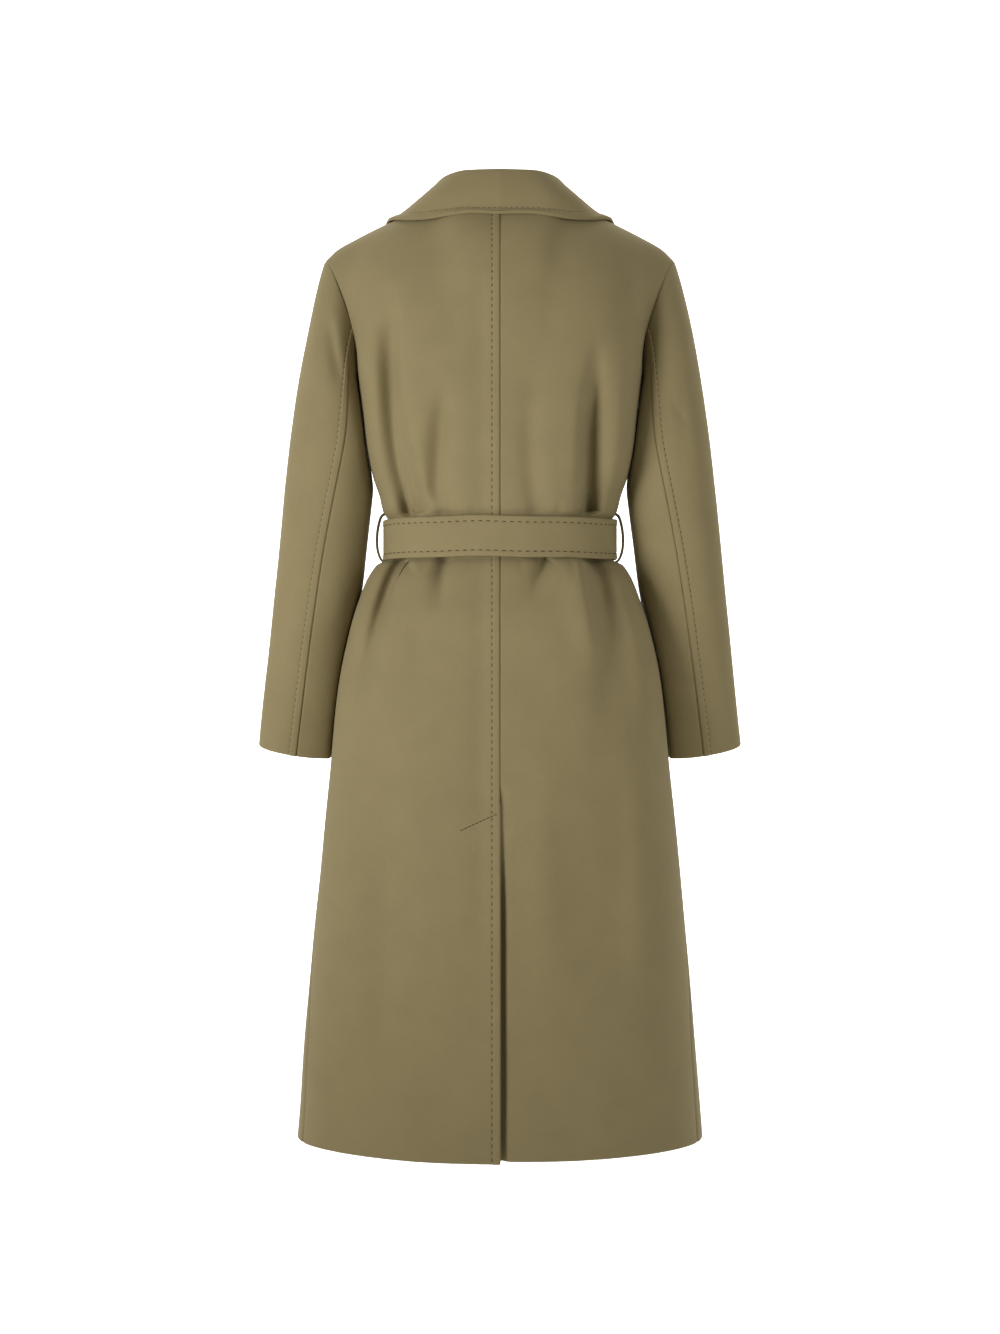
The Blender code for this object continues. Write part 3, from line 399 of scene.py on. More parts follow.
def back_point(side, share, level):
    """A point on the outside of a back. Share runs from the centre back to the side seam and armhole."""
    share, level = np.broadcast_arrays(np.asarray(share, float), np.asarray(level, float))
    height = UNDERARM + np.minimum(level, 0.0)
    share = np.where(level > 0, np.minimum(share, 1.0), share)
    angle = share * side_angle(height)
    low = ring_point(angle, height)
    across = (share - NECK_SHARE) / (1 - NECK_SHARE)
    neck = read_point(BACK_NECK, share / NECK_SHARE)
    top = np.where((share < NECK_SHARE)[..., None], neck, read_point(SHOULDER, across))
    turn = np.radians(NECK_LEAN + (SHOULDER_LEAN - NECK_LEAN) * np.clip(share / NECK_SHARE, 0, 1))
    lean = xyz(0.0, -np.sin(turn), np.cos(turn))
    foot = ring_point(angle, UNDERARM + 0 * angle)
    high = upper_column(foot, ring_rise(angle), top, lean, BACK_ARMHOLE, share, np.clip(level, 0, 1))
    points = np.where((level <= 0)[..., None], low, high)
    points[..., 1] += vent_shift(side, points[..., 0], height)
    return folded(points, angle, side)


def vent_shift(side, aside, height):
    """The left back's edge stands out at the vent, and the right back drops in to pass under it."""
    if side > 0:
        return read(VENT_DROP, "lift", height) * np.exp(-np.maximum(aside, 0) / VENT_LIFT_WIDTH)
    return -read(VENT_DROP, "drop", height) * ease(1 - (aside - VENT_DROP_START) / VENT_DROP_WIDTH)


def front_point(side, share, level):
    """A point on the outside of a front. Share runs from its edge or roll line to the side and armhole."""
    share, level = np.broadcast_arrays(np.asarray(share, float), np.asarray(level, float))
    height = UNDERARM + np.minimum(level, 0.0)
    share = np.where(level > 0, np.clip(share, 0.0, 1.0), share)
    overlap = read(FRONT_EDGE, "overlap", height) / read(BODY, "front_depth", height)
    edge = math.pi + np.arcsin(np.clip(overlap, -1, 1))
    angle = edge + share * (side_angle(height) - edge)
    low = ring_point(angle, height)
    top = read_point(SHOULDER, share)
    foot = ring_point(angle, UNDERARM + 0 * angle)
    roll = unit(np.array(NECK_POINT) - ring_point(np.array(math.pi), np.array(UNDERARM)))
    turn = math.radians(SHOULDER_LEAN)
    lean = np.array([0.0, math.sin(turn), math.cos(turn)])
    open_chest = ease(share / CHEST_SHARE)[..., None]
    rise = unit(ring_rise(angle) * open_chest + roll * (1 - open_chest))
    lean = unit(lean * open_chest + roll * (1 - open_chest))
    high = upper_column(foot, rise, top, lean, FRONT_ARMHOLE, share, np.clip(level, 0, 1))
    points = np.where((level <= 0)[..., None], low, high)
    if side > 0:
        limit = read(FRONT_EDGE, "overlap", points[..., 2]) + LAP_MARGIN
        under = LAP * ease(1 - (points[..., 0] - limit) / LAP_FADE)
        points = points - ring_normal(angle, height) * under[..., None]
    return folded(points, angle, side)


def surface_normals(point, side, shares, levels):
    """Outward normals of a back or front, from its form on both sides of each point."""
    across = point(side, shares + SLOPE_STEP, levels) - point(side, shares - SLOPE_STEP, levels)
    up = point(side, shares, levels + SLOPE_STEP) - point(side, shares, levels - SLOPE_STEP)
    return unit(np.cross(across, up)) * (side if point is front_point else -side)


def grid_normals(grid):
    """Normals of a grid of points, to one side or the other."""
    return unit(np.cross(np.gradient(grid, axis=1), np.gradient(grid, axis=0)))


# Sleeves, worked out on the left
def armhole(turn):
    """The armhole, from the shoulder tip (0) down the back to the underarm (0.5) and up the front (1)."""
    back = back_point(1, 1.0, np.clip(1 - 2 * turn, 0, 1))
    front = front_point(1, 1.0, np.clip(2 * turn - 1, 0, 1))
    return np.where((turn <= 0.5)[..., None], back, front)


def sleeve_angle(turn, height):
    """The angle round the sleeve, from its outer side by the back, that a column reaches at a height."""
    back = read(BACK_SEAM_ANGLE, "angle", height)
    front = read(FRONT_SEAM_ANGLE, "angle", height)
    under = back + (front - back) * (turn - BACK_SEAM_TURN) / (FRONT_SEAM_TURN - BACK_SEAM_TURN)
    last = front + (360.0 - front) * (turn - FRONT_SEAM_TURN) / (1 - FRONT_SEAM_TURN)
    first = back * turn / BACK_SEAM_TURN
    return np.radians(np.where(turn <= BACK_SEAM_TURN, first, np.where(turn <= FRONT_SEAM_TURN, under, last)))


def sleeve_tube(turn, height):
    """The sleeve below the upper arm."""
    angle = sleeve_angle(turn, height)
    c, s = np.cos(angle), np.sin(angle)
    wide, deep = read(SLEEVE, "half_width", height), read(SLEEVE, "half_depth", height)
    power = SLEEVE_SQUARENESS
    radius = ((np.abs(c) / wide) ** power + (np.abs(s) / deep) ** power) ** (-1 / power)
    x = read(SLEEVE, "centre_x", height) + radius * c
    y = read(SLEEVE, "centre_y", height) + radius * s
    return xyz(x, y, height)


def clear_of_body(points):
    """Sleeve points pushed out where the sleeve hangs against the body."""
    x, y, z = np.moveaxis(points, -1, 0)
    height = np.clip(z, HEM, UNDERARM)
    depth = np.where(y > 0, read(BODY, "back_depth", height), read(BODY, "front_depth", height))
    power = read(BODY, "squareness", height)
    inside = np.maximum(0.0, 1 - (np.abs(y) / depth) ** power)
    limit = read(BODY, "half_width", height) * inside ** (1 / power) + SLEEVE_CLEARANCE
    over = np.clip((x - limit) / SLEEVE_CLEARANCE, -30, 30)
    pushed = np.maximum(x, limit + SLEEVE_CLEARANCE * np.log1p(np.exp(over)))
    return xyz(np.where(z < UNDERARM, pushed, x), y, z)


def sleeve_point(turn, level):
    """A point on the sleeve's outside. Level is 0 at the armhole, 1 at the upper arm and 2 at the cuff."""
    start = armhole(turn)
    end = sleeve_tube(turn, UPPER_ARM + 0 * turn)
    swing = 2 * math.pi * turn
    under = np.exp(-(((turn - 0.5) / UNDERARM_SPAN) ** 2))
    leave = start + xyz(CAP_OUT - CAP_UNDER * under, CAP_SWING * np.sin(swing), -CAP_DOWN)
    pull = SLEEVE_PULL * np.linalg.norm(end - start, axis=-1, keepdims=True)
    arrive = end + unit(end - sleeve_tube(turn, UPPER_ARM - TUBE_STEP + 0 * turn)) * pull
    cap = bezier(start, leave, arrive, end, np.clip(level, 0, 1))
    angle = sleeve_angle(turn, CUFF + 0 * turn)
    cuff = CUFF + CUFF_SLANT * np.cos(angle) - CUFF_DIP * np.sin(angle)
    tube = sleeve_tube(turn, UPPER_ARM + (cuff - UPPER_ARM) * np.clip(level - 1, 0, 1))
    points = clear_of_body(np.where((level <= 1)[..., None], cap, tube))
    settle = ease(level / CAP_SETTLE)[..., None]
    return cap * (1 - settle) + points * settle


# How finely the cloth is divided, and the shape of its seams
STEP = 0.0034
FRONT_STEP = 0.0056
PLAIN = np.array([0.0, 0.0006, 0.0013, 0.0022, 0.0034, 0.0052])  # columns beside a plain seam
WELTED = np.array([  # columns beside a topstitched seam or edge
    0.0, 0.0006, 0.0013, 0.0022, 0.0040, 0.0060, 0.0074, 0.0084, 0.0090, 0.0096, 0.0106, 0.0126,
])
SEWN_GAP = -0.00002  # sewn edges run into each other by a hair
GROOVE_DEPTH = 0.0010
GROOVE_WIDTH = 0.0009
ARMHOLE_GROOVE = 0.0010
WELT_HEIGHT = 0.0010
WELT_RISE = 0.0008
WELT_END = 0.0012  # where the band starts to fall, before its stitching
WELT_FALL = 0.0016
STITCH_PLACE = 0.0090  # from a seam or edge to its topstitching
STITCH_DENT = 0.0004
DENT_WIDTH = 0.0010
SIDE_HOLLOW = 0.0018  # how deep the side seams lie at the hem
SIDE_HOLLOW_WIDTH = 0.0032
SIDE_HOLLOW_TOP = -0.78
SIDE_HOLLOW_FADE = 0.2
UNEVENNESS = 0.0007
# Where a back's columns are evened out: in from its edges, and from this level up
EVEN_FIRST = 0.013
EVEN_LAST = 0.007
EVEN_FADE = 0.02
EVEN_TOP = 0.03
EVEN_LEVEL = 0.15
EVEN_RISE = 0.2
BODY_ROWS = np.concatenate([
    np.arange(HEM, -0.505, 0.0042),
    np.arange(-0.505, -0.330, 0.0028),
    np.arange(-0.330, UNDERARM, 0.0038),
]) - UNDERARM
TOP_ROWS = np.concatenate([np.linspace(0.0, 0.97, 54), (0.98, 0.988, 0.994, 1.0)])
LEVELS = np.concatenate([BODY_ROWS, TOP_ROWS])
SLEEVE_LEVELS = np.concatenate([
    (0.0, 0.003, 0.007, 0.012, 0.018, 0.026),
    np.linspace(0.04, 1.0, 66),
    1 + np.linspace(0.0, 1.0, 92)[1:],
])

# Where the coat is seen from, behind its middle
VIEW_DISTANCE = 3.3
EYE_HEIGHT = -0.5544


def groove(distance):
    return GROOVE_DEPTH * np.exp(-((distance / GROOVE_WIDTH) ** 2))


def welt(distance):
    """A raised band beside a seam or edge, down to its line of topstitching."""
    band = ease(distance / WELT_RISE) - ease((distance - STITCH_PLACE + WELT_END) / WELT_FALL)
    return WELT_HEIGHT * band - STITCH_DENT * np.exp(-(((distance - STITCH_PLACE) / DENT_WIDTH) ** 2))


def spread(form, levels, first, start, end, step=STEP):
    """Shares across a panel, row by row, at set distances from its two edges and even between them."""
    probe = np.linspace(0.0, 1.0, 81)
    shares = first[:, None] + (1 - first[:, None]) * probe
    points = form(shares, levels[:, None] + 0 * shares)
    run = distance_along(points, 1)
    count = int((run[:, -1].max() - start[-1] - end[-1]) / step)
    rows = []
    for r in range(len(levels)):
        middle = np.linspace(start[-1], run[r, -1] - end[-1], count)[1:-1]
        places = np.concatenate([start, middle, run[r, -1] - end[::-1]])
        rows.append(np.interp(places, run[r], shares[r]))
    return np.array(rows)


def edge_distances(grid):
    """How far each point of a grid lies from its first and last column and from its first and last row."""
    first, bottom = distance_along(grid, 1), distance_along(grid, 0)
    return {"first": first, "last": first[:, -1:] - first, "bottom": bottom, "top": bottom[-1:] - bottom}


def evened(grid, weights, rounds=45):
    """A grid with its columns evened out, as far as the weights say."""
    grid = grid.copy()
    for _ in range(rounds):
        middle = (grid[:, :-2] + grid[:, 2:]) / 2
        grid[:, 1:-1] += 0.5 * weights[:, 1:-1, None] * (middle - grid[:, 1:-1])
    return grid


def unevenness(points):
    """The slight waviness of cloth that hangs freely."""
    x, y, z = np.moveaxis(points, -1, 0)
    wave = np.sin(37 * x + 9 * z + 3 * y) * np.sin(11 * z - 5 * x + 1.3)
    wave = wave + 0.6 * np.sin(61 * x - 17 * z + 2.1) * np.sin(23 * z + 8 * y)
    return UNEVENNESS * wave


def crease_table(rows):
    """A table of creases, from rows in millimetres that end with the shares of fading in and out."""
    names = "x0 z0 x1 z1 x2 z2 depth left right fade_in fade_out"
    return columns(names, [[MM * size for size in row[:-2]] + list(row[-2:]) for row in rows])


# Creases and ridges (negative depth) placed on the back, as seen from behind. Each runs down through
# three places in the plane through the coat's middle, with its own width towards the coat's left and right.
BODY_CREASES = crease_table((
    (128, -85, 126, -227, 95, -371, 23, 13, 6.2, 0.42, 0.02),
    (62, -200, 72, -270, 78, -364, 10, 9, 7, 0.55, 0.12),
    (-120, -145, -108, -266, -107, -371, 21.5, 6.4, 8, 0.55, 0.02),
    (-158, -150, -149, -264, -142, -371, -7, 11, 8, 0.50, 0.20),
    (-52, -162, -37, -258, -46, -371, 2.2, 9, 8, 0.60, 0.02),
    (121, -340, 114, -356, 110, -371, 4.5, 4.2, 2.4, 0.70, 0.02),
    (-103, -337, -106, -356, -107, -371, 4, 3, 3.4, 0.70, 0.02),
    (77, -354, 72, -364, 68, -371, 2, 3, 2.2, 0.80, 0.02),
    (91, -348, 88, -360, 85, -371, 1.2, 3, 3, 0.80, 0.02),
    (-73, -347, -71, -360, -70, -371, 1.6, 3, 3, 0.80, 0.02),
    (31, -353, 32, -362, 34, -371, 0.8, 3, 3, 0.80, 0.02),
    (-20, -353, -23, -362, -25, -371, 0.8, 3, 3, 0.80, 0.02),
    (-134, -342, -137, -358, -139, -371, 2, 3, 3.5, 0.80, 0.02),
    (-191, -102, -175, -196, -156, -318, 3, 6, 6, 0.30, 0.40),
    (179, -182, 167, -252, 154, -318, 2, 5, 5, 0.30, 0.40),
    (-151, -80, -150, -104, -146, -136, 1.2, 6, 6, 0.50, 0.50),
    (-20, -266, -34, -268, -50, -268, 0.5, 1.5, 1.5, 0.40, 0.40),
    (113, -422, 139, -472, 168, -594, 13, 5.2, 12, 0.02, 0.55),
    (62, -422, 70, -450, 74, -500, 11, 8.5, 3.6, 0.02, 0.70),
    (-55, -422, -47, -444, -36, -481, 8.5, 4, 7.5, 0.02, 0.75),
    (-103, -421, -112, -474, -125, -546, 12.5, 3.8, 11, 0.02, 0.65),
    (-137, -474, -156, -582, -168, -714, 6, 14, 15, 0.45, 0.50),
    (-132, -424, -149, -479, -166, -546, -6, 10, 9, 0.20, 0.50),
    (-95, -421, -103, -480, -122, -582, -8, 15, 6, 0.05, 0.45),
    (137, -642, 139, -834, 144, -1098, 6, 19, 13, 0.40, 0.25),
    (22, -37, 22, -522, 24, -1074, 2, 11, 6, 0.10, 0.25),
    (-50, -594, -55, -810, -58, -1026, -3.6, 16, 16, 0.40, 0.40),
    (-146, -642, -144, -810, -139, -1026, 3.6, 17, 12, 0.40, 0.40),
    (98, -474, 101, -528, 107, -594, 1.4, 8, 8, 0.40, 0.50),
    (90, -424, 94, -436, 97, -450, 1.6, 3, 3, 0.02, 0.80),
    (35, -424, 38, -436, 41, -448, 1, 3, 3, 0.02, 0.80),
    (-24, -424, -26, -436, -29, -448, 1, 3, 3, 0.02, 0.80),
    (-84, -424, -88, -438, -92, -460, 2, 3.5, 4, 0.02, 0.80),
    (-139, -424, -146, -440, -154, -462, 2, 3.5, 4, 0.02, 0.80),
))
FRONT_CREASES = crease_table((
    (118, -150, 122, -258, 106, -371, 11, 11, 7, 0.50, 0.02),
    (-127, -258, -121, -318, -108, -371, 11, 7, 11, 0.55, 0.02),
    (62, -282, 58, -330, 50, -371, 5, 6, 5, 0.60, 0.02),
    (-62, -294, -58, -336, -50, -371, 5, 5, 6, 0.60, 0.02),
    (108, -424, 127, -486, 154, -594, 9, 5, 11, 0.02, 0.60),
    (-106, -424, -124, -492, -146, -606, 10, 5, 11, 0.02, 0.60),
    (60, -424, 65, -450, 74, -488, 6, 6, 4, 0.02, 0.70),
    (-67, -424, -72, -456, -82, -498, 6, 4, 6, 0.02, 0.70),
    (-134, -642, -137, -834, -144, -1086, 5, 18, 15, 0.40, 0.25),
    (120, -642, 125, -834, 130, -1086, 5, 16, 18, 0.40, 0.25),
))
SLEEVE_CREASES = crease_table((
    (209, -118, 200, -174, 190, -224, 4, 6, 4.2, 0.40, 0.40),
    (224, -109, 223, -176, 226, -248, -1.6, 5, 5, 0.40, 0.40),
    (-222, -109, -226, -168, -226, -234, -1.6, 5, 5, 0.40, 0.40),
    (-220, -186, -221, -264, -223, -344, 1.8, 8, 8, 0.40, 0.40),
    (-200, -226, -215, -247, -229, -271, 1.2, 3, 3, 0.40, 0.40),
))

CREASE_STEPS = 25
CREASE_REACH = 4  # in widths
FACING_FADE = 0.25  # creases fade out where the cloth turns to the side


def crease_depth(points, normals, table, way=1):
    """How far the creases of a table draw in cloth that faces back (1) or to the front (-1)."""
    grow = VIEW_DISTANCE / (VIEW_DISTANCE - way * points[..., 1])
    x = points[..., 0] * grow
    z = EYE_HEIGHT + (points[..., 2] - EYE_HEIGHT) * grow
    facing = ease(way * normals[..., 1] / FACING_FADE)
    total = 0 * x
    for k in range(len(table["depth"])):
        row = {name: column[k] for name, column in table.items()}
        t = np.linspace(0.0, 1.0, CREASE_STEPS)
        shares = (1 - t) * (1 - 2 * t), 4 * t * (1 - t), t * (2 * t - 1)
        line_x, line_z = (sum(w * row[axis + n] for w, n in zip(shares, "012")) for axis in "xz")
        margin = CREASE_REACH * max(row["left"], row["right"])
        near = (x > line_x.min() - margin) & (x < line_x.max() + margin) & (facing > 0)
        near &= (z > line_z.min() - margin) & (z < line_z.max() + margin)
        if not near.any():
            continue
        ax, az = x[near][:, None] - line_x[:-1], z[near][:, None] - line_z[:-1]
        dx, dz = np.diff(line_x), np.diff(line_z)
        part = np.clip((ax * dx + az * dz) / (dx**2 + dz**2), 0, 1)
        distance = np.hypot(ax - part * dx, az - part * dz)
        nearest = distance.argmin(axis=1)
        pick = np.arange(len(nearest)), nearest
        along = (nearest + part[pick]) / (len(t) - 1)
        left = dx[nearest] * az[pick] - dz[nearest] * ax[pick] > 0
        width = np.where(left, row["left"], row["right"])
        fade = ease(along / row["fade_in"]) * ease((1 - along) / row["fade_out"])
        total[near] += row["depth"] * fade * np.exp(-0.5 * (distance[pick] / width) ** 2)
    return total * facing


# Meshes
RIM_TURNS = np.radians((35, 70, 110, 145))  # round a free edge, from the outside to the inside
# A stitch's rings: place along it, as a share of its length, then size and rise, as shares of its radius
STITCH_RINGS = ((-0.5, 0.35, -0.9), (-0.34, 0.9, 0.0), (0.0, 1.0, 0.35), (0.34, 0.9, 0.0), (0.5, 0.35, -0.9))
STITCH_SIDES = 6


def numbered(grid):
    """The numbers of a grid's points, row by row."""
    return np.arange(grid.shape[0] * grid.shape[1]).reshape(grid.shape[:2])


def grid_quads(number):
    """The cells of a grid of numbered points."""
    corners = number[:-1, :-1], number[:-1, 1:], number[1:, 1:], number[1:, :-1]
    return np.stack(corners, axis=-1).reshape(-1, 4)


def add_mesh(name, points, faces, material):
    mesh = bpy.data.meshes.new(name)
    mesh.from_pydata(points.tolist(), [], faces)
    mesh.shade_smooth()
    mesh.materials.append(material)
    obj = bpy.data.objects.new(name, mesh)
    bpy.context.scene.collection.objects.link(obj)
    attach(obj, "root")
    return obj


def add_piece(name, points, faces):
    """A piece of cloth, seen instead of the solid that has its name."""
    piece = add_mesh(name + "_wool", points, faces, WOOL)
    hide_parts(name)
    return piece


def add_wall(name, outer, inner, free):
    """A closed thin wall between two grids, rounded along its free edges (1) and square at its seams (0)."""
    rows, cols = outer.shape[:2]
    number = numbered(outer)
    away = np.zeros_like(outer)
    loose = np.zeros((rows, cols))
    places = {"bottom": np.s_[0], "top": np.s_[-1], "first": np.s_[:, 0], "last": np.s_[:, -1]}
    inside = {"bottom": np.s_[1], "top": np.s_[-2], "first": np.s_[:, 1], "last": np.s_[:, -2]}
    for edge, place in places.items():
        away[place] += unit(outer[place] - outer[inside[edge]])
        loose[place] = np.maximum(loose[place], free.get(edge, 0.0))
    rim = np.concatenate([number[0], number[1:, -1], number[-1, -2::-1], number[-2:0:-1, 0]])
    high, low = outer.reshape(-1, 3), inner.reshape(-1, 3)
    middle, half = (high[rim] + low[rim]) / 2, (high[rim] - low[rim]) / 2
    reach = unit(away.reshape(-1, 3)[rim]) * np.linalg.norm(half, axis=-1, keepdims=True)
    reach = reach * loose.reshape(-1, 1)[rim]
    loops = [middle + half * math.cos(a) + reach * math.sin(a) for a in RIM_TURNS]
    points = np.concatenate([high, low, *loops])
    quads = grid_quads(number)
    lines = [rim] + [2 * rows * cols + k * len(rim) + np.arange(len(rim)) for k in range(len(loops))]
    lines.append(rim + rows * cols)
    strips = [np.stack([np.roll(a, -1), a, b, np.roll(b, -1)], axis=-1) for a, b in zip(lines, lines[1:])]
    faces = np.concatenate([quads, quads[:, ::-1] + rows * cols, *strips])
    facing = np.cross(outer[0, 1] - outer[0, 0], outer[1, 0] - outer[0, 0])
    if facing @ (outer[0, 0] - inner[0, 0]) < 0:
        faces = faces[:, ::-1]
    return add_piece(name, points, faces.tolist())


def tree_of(*grids):
    """A search tree over the outsides of pieces."""
    points, faces = [], []
    for grid in grids:
        faces += grid_quads(len(points) + numbered(grid)).tolist()
        points += [Vector(p) for p in grid.reshape(-1, 3)]
    return BVHTree.FromPolygons(points, faces)


def stitch_marks(points, normals, pitch, length):
    """Middles, directions and normals of stitches along a line of points."""
    run = distance_along(points, 0)
    count = max(1, int(run[-1] / pitch))
    place = (np.arange(count) + 0.5) * run[-1] / count

    def at(values, where):
        return np.stack([np.interp(where, run, values[:, k]) for k in range(3)], axis=-1)

    ahead = at(points, place + length / 2) - at(points, place - length / 2)
    return at(points, place), unit(ahead), unit(at(normals, place))


def add_stitches(name, lines, pitch, length, radius):
    """Rows of stitches as one mesh. Each line is a pair of grids: points on the cloth and normals there."""
    marks = [stitch_marks(p, n, pitch, length) for p, n in lines]
    middle, along, normal = (np.concatenate(part) for part in zip(*marks))
    aside = unit(np.cross(normal, along))
    turn = np.radians(np.arange(0, 360, 360 / STITCH_SIDES))[:, None]
    spokes = aside[:, None] * np.cos(turn) + normal[:, None] * np.sin(turn)
    rings = []
    for place, size, rise in STITCH_RINGS:
        centre = middle + along * place * length + normal * rise * radius
        rings.append(centre[:, None] + size * radius * spokes)
    points = np.stack(rings, axis=1)
    each = len(STITCH_RINGS) * STITCH_SIDES
    first = np.arange(len(middle))[:, None] * each
    base = first[..., None] + np.arange(0, each - STITCH_SIDES, STITCH_SIDES)[:, None]
    above = base + STITCH_SIDES
    j = np.arange(STITCH_SIDES)
    k = (j + 1) % STITCH_SIDES
    sides = np.stack([base + j, base + k, above + k, above + j], axis=-1).reshape(-1, 4)
    ends = np.concatenate([first + j[::-1], first + each - STITCH_SIDES + j])
    # the stitches take the dark thread, whose colour carries painted shade of their holes
    return add_mesh(name, points.reshape(-1, 3), sides.tolist() + ends.tolist(), THREAD_WITH_PAINTED_SHADE)


# Materials
def set_inputs(node, **values):
    """Sets a node's inputs. Underscores in their names stand for spaces."""
    for name, value in values.items():
        node.inputs[name.replace("_", " ")].default_value = value


def wool_material(name, colour, depth):
    """Felted wool: slightly uneven colour, a fine nap and a soft sheen."""
    material = bpy.data.materials.new(name)
    material.use_nodes = True
    nodes, links = material.node_tree.nodes, material.node_tree.links
    shader = nodes["Principled BSDF"]
    set_inputs(shader, Roughness=0.95, Specular_IOR_Level=0.15)
    set_inputs(shader, Sheen_Weight=0.10, Sheen_Roughness=0.50, Sheen_Tint=(0.75, 0.68, 0.50, 1.0))
    place = nodes.new("ShaderNodeTexCoord")
    cloudy = nodes.new("ShaderNodeTexNoise")
    set_inputs(cloudy, Scale=26.0, Detail=4.0)
    flecked = nodes.new("ShaderNodeTexNoise")
    set_inputs(flecked, Scale=620.0, Detail=3.0)
    mixed = nodes.new("ShaderNodeMix")
    set_inputs(mixed, Factor=0.5)
    shade = nodes.new("ShaderNodeMix")
    shade.data_type = "RGBA"
    dark, light = ((*(c * (1 + way * depth) for c in colour), 1.0) for way in (-1, 1))
    set_inputs(shade, A=dark, B=light)
    bump = nodes.new("ShaderNodeBump")
    set_inputs(bump, Strength=0.22, Distance=0.0006)
    for texture in (cloudy, flecked):
        links.new(place.outputs["Object"], texture.inputs["Vector"])
    links.new(cloudy.outputs["Fac"], mixed.inputs["A"])
    links.new(flecked.outputs["Fac"], mixed.inputs["B"])
    links.new(mixed.outputs["Result"], shade.inputs["Factor"])
    links.new(shade.outputs["Result"], shader.inputs["Base Color"])
    links.new(flecked.outputs["Fac"], bump.inputs["Height"])
    links.new(bump.outputs["Normal"], shader.inputs["Normal"])
    return material


WOOL = wool_material("olive_wool", (0.262, 0.212, 0.108), 0.16)
# The thread is coloured far darker than the wool. This is partly its own colour and partly painted shade of
# the sunken stitch holes, so that the stitching shows as dark dashes.
THREAD_WITH_PAINTED_SHADE = wool_material("olive_thread_painted_shade", (0.034, 0.026, 0.012), 0.10)


# Backs and fronts
def lengthened(mean, normals):
    """A mean of normals, lengthened to reach as far as they do, at most twice."""
    return mean / np.maximum(np.sum(mean * normals, axis=-1, keepdims=True), 0.5)


def armhole_rim(turn):
    """Normals of body and sleeve round the left armhole, and the mean along which their seam sinks.

    Where the sleeve bends away from the body both take their mean, lengthened, so that their edges meet flat.
    """
    back = surface_normals(back_point, 1, 0 * turn + 1.0, np.clip(1 - 2 * turn, 0, 1))
    front = surface_normals(front_point, 1, 0 * turn + 1.0, np.clip(2 * turn - 1, 0, 1))
    body = np.where((turn <= 0.5)[..., None], back, front)
    ends = (turn == 0) | (turn == 0.5) | (turn == 1)
    body[ends] = unit(back + front)[ends]
    sleeve = sleeve_normals(turn, 0 * turn)
    leaving = unit(sleeve_point(turn, 0 * turn + CAP_PROBE) - sleeve_point(turn, 0 * turn))
    bends_away = (np.sum(leaving * body, axis=-1) < 0.0)[..., None]
    mean = unit(body + sleeve)
    longer = lengthened(mean, body)
    return np.where(bends_away, longer, body), np.where(bends_away, longer, sleeve), mean


def shoulder_rim(share):
    """Normals along the left shoulder seam, shared by back and front."""
    top = 0 * share + 1.0
    back = surface_normals(back_point, 1, NECK_SHARE + (1 - NECK_SHARE) * share, top)
    mean = unit(back + surface_normals(front_point, 1, share, top))
    return lengthened(mean, back)


def sleeve_normals(turn, level):
    down = sleeve_point(turn, level + SLOPE_STEP) - sleeve_point(turn, np.maximum(level - SLOPE_STEP, 0))
    ahead = sleeve_point((turn + SLOPE_STEP) % 1, level) - sleeve_point((turn - SLOPE_STEP) % 1, level)
    return unit(np.cross(down, ahead))


def hem_rise(point, side, share):
    """How far a panel's hem lies above the lowest one."""
    if point is front_point:
        return HEM_RISE + 0 * share
    shorter = BACK_HEM_LIFT * ease(1 - share / HEM_LIFT_SHARE) if side < 0 else 0.0
    return HEM_RISE * ease((share - HEM_RISE_START) / HEM_RISE_SPAN) + shorter


def panel_drop(back, side, outer, away):
    """How far its seams, topstitched edges and waviness set a panel's outside in."""
    heights = UNDERARM + np.minimum(LEVELS, 0.0)[:, None]
    drop = groove(away["last"]) + groove(away["top"]) - unevenness(outer)
    hollow = SIDE_HOLLOW * ease((SIDE_HOLLOW_TOP - heights) / SIDE_HOLLOW_FADE)
    drop += hollow * np.exp(-((away["last"] / SIDE_HOLLOW_WIDTH) ** 2))
    if not back:
        return drop - welt(away["first"]) * (LEVELS <= 0)[:, None]
    drop += np.where(heights < VENT_TOP, 0.0, groove(away["first"]))
    return drop - welt(away["first"]) if side > 0 else drop


def share_rims(back, side, shares, normals):
    """Gives a panel's edges the normals shared with their neighbours, and says how its armhole sinks."""
    top = np.clip((shares[-1] - NECK_SHARE) / (1 - NECK_SHARE) if back else shares[-1], 0, 1)
    rim = mirrored(shoulder_rim(top), side)
    normals[-1] = np.where((shares[-1] >= NECK_SHARE)[:, None] if back else True, rim, normals[-1])
    high = LEVELS >= 0
    turn = 0.5 - LEVELS[high] / 2 if back else 0.5 + LEVELS[high] / 2
    normals[high, -1], _, sink = (mirrored(vectors, side) for vectors in armhole_rim(turn))
    if back:
        middle = np.abs(shares[:, 0]) < 1e-9
        normals[middle, 0] = unit(normals[middle, 0] * np.array([0.0, 1.0, 1.0]))
    return sink


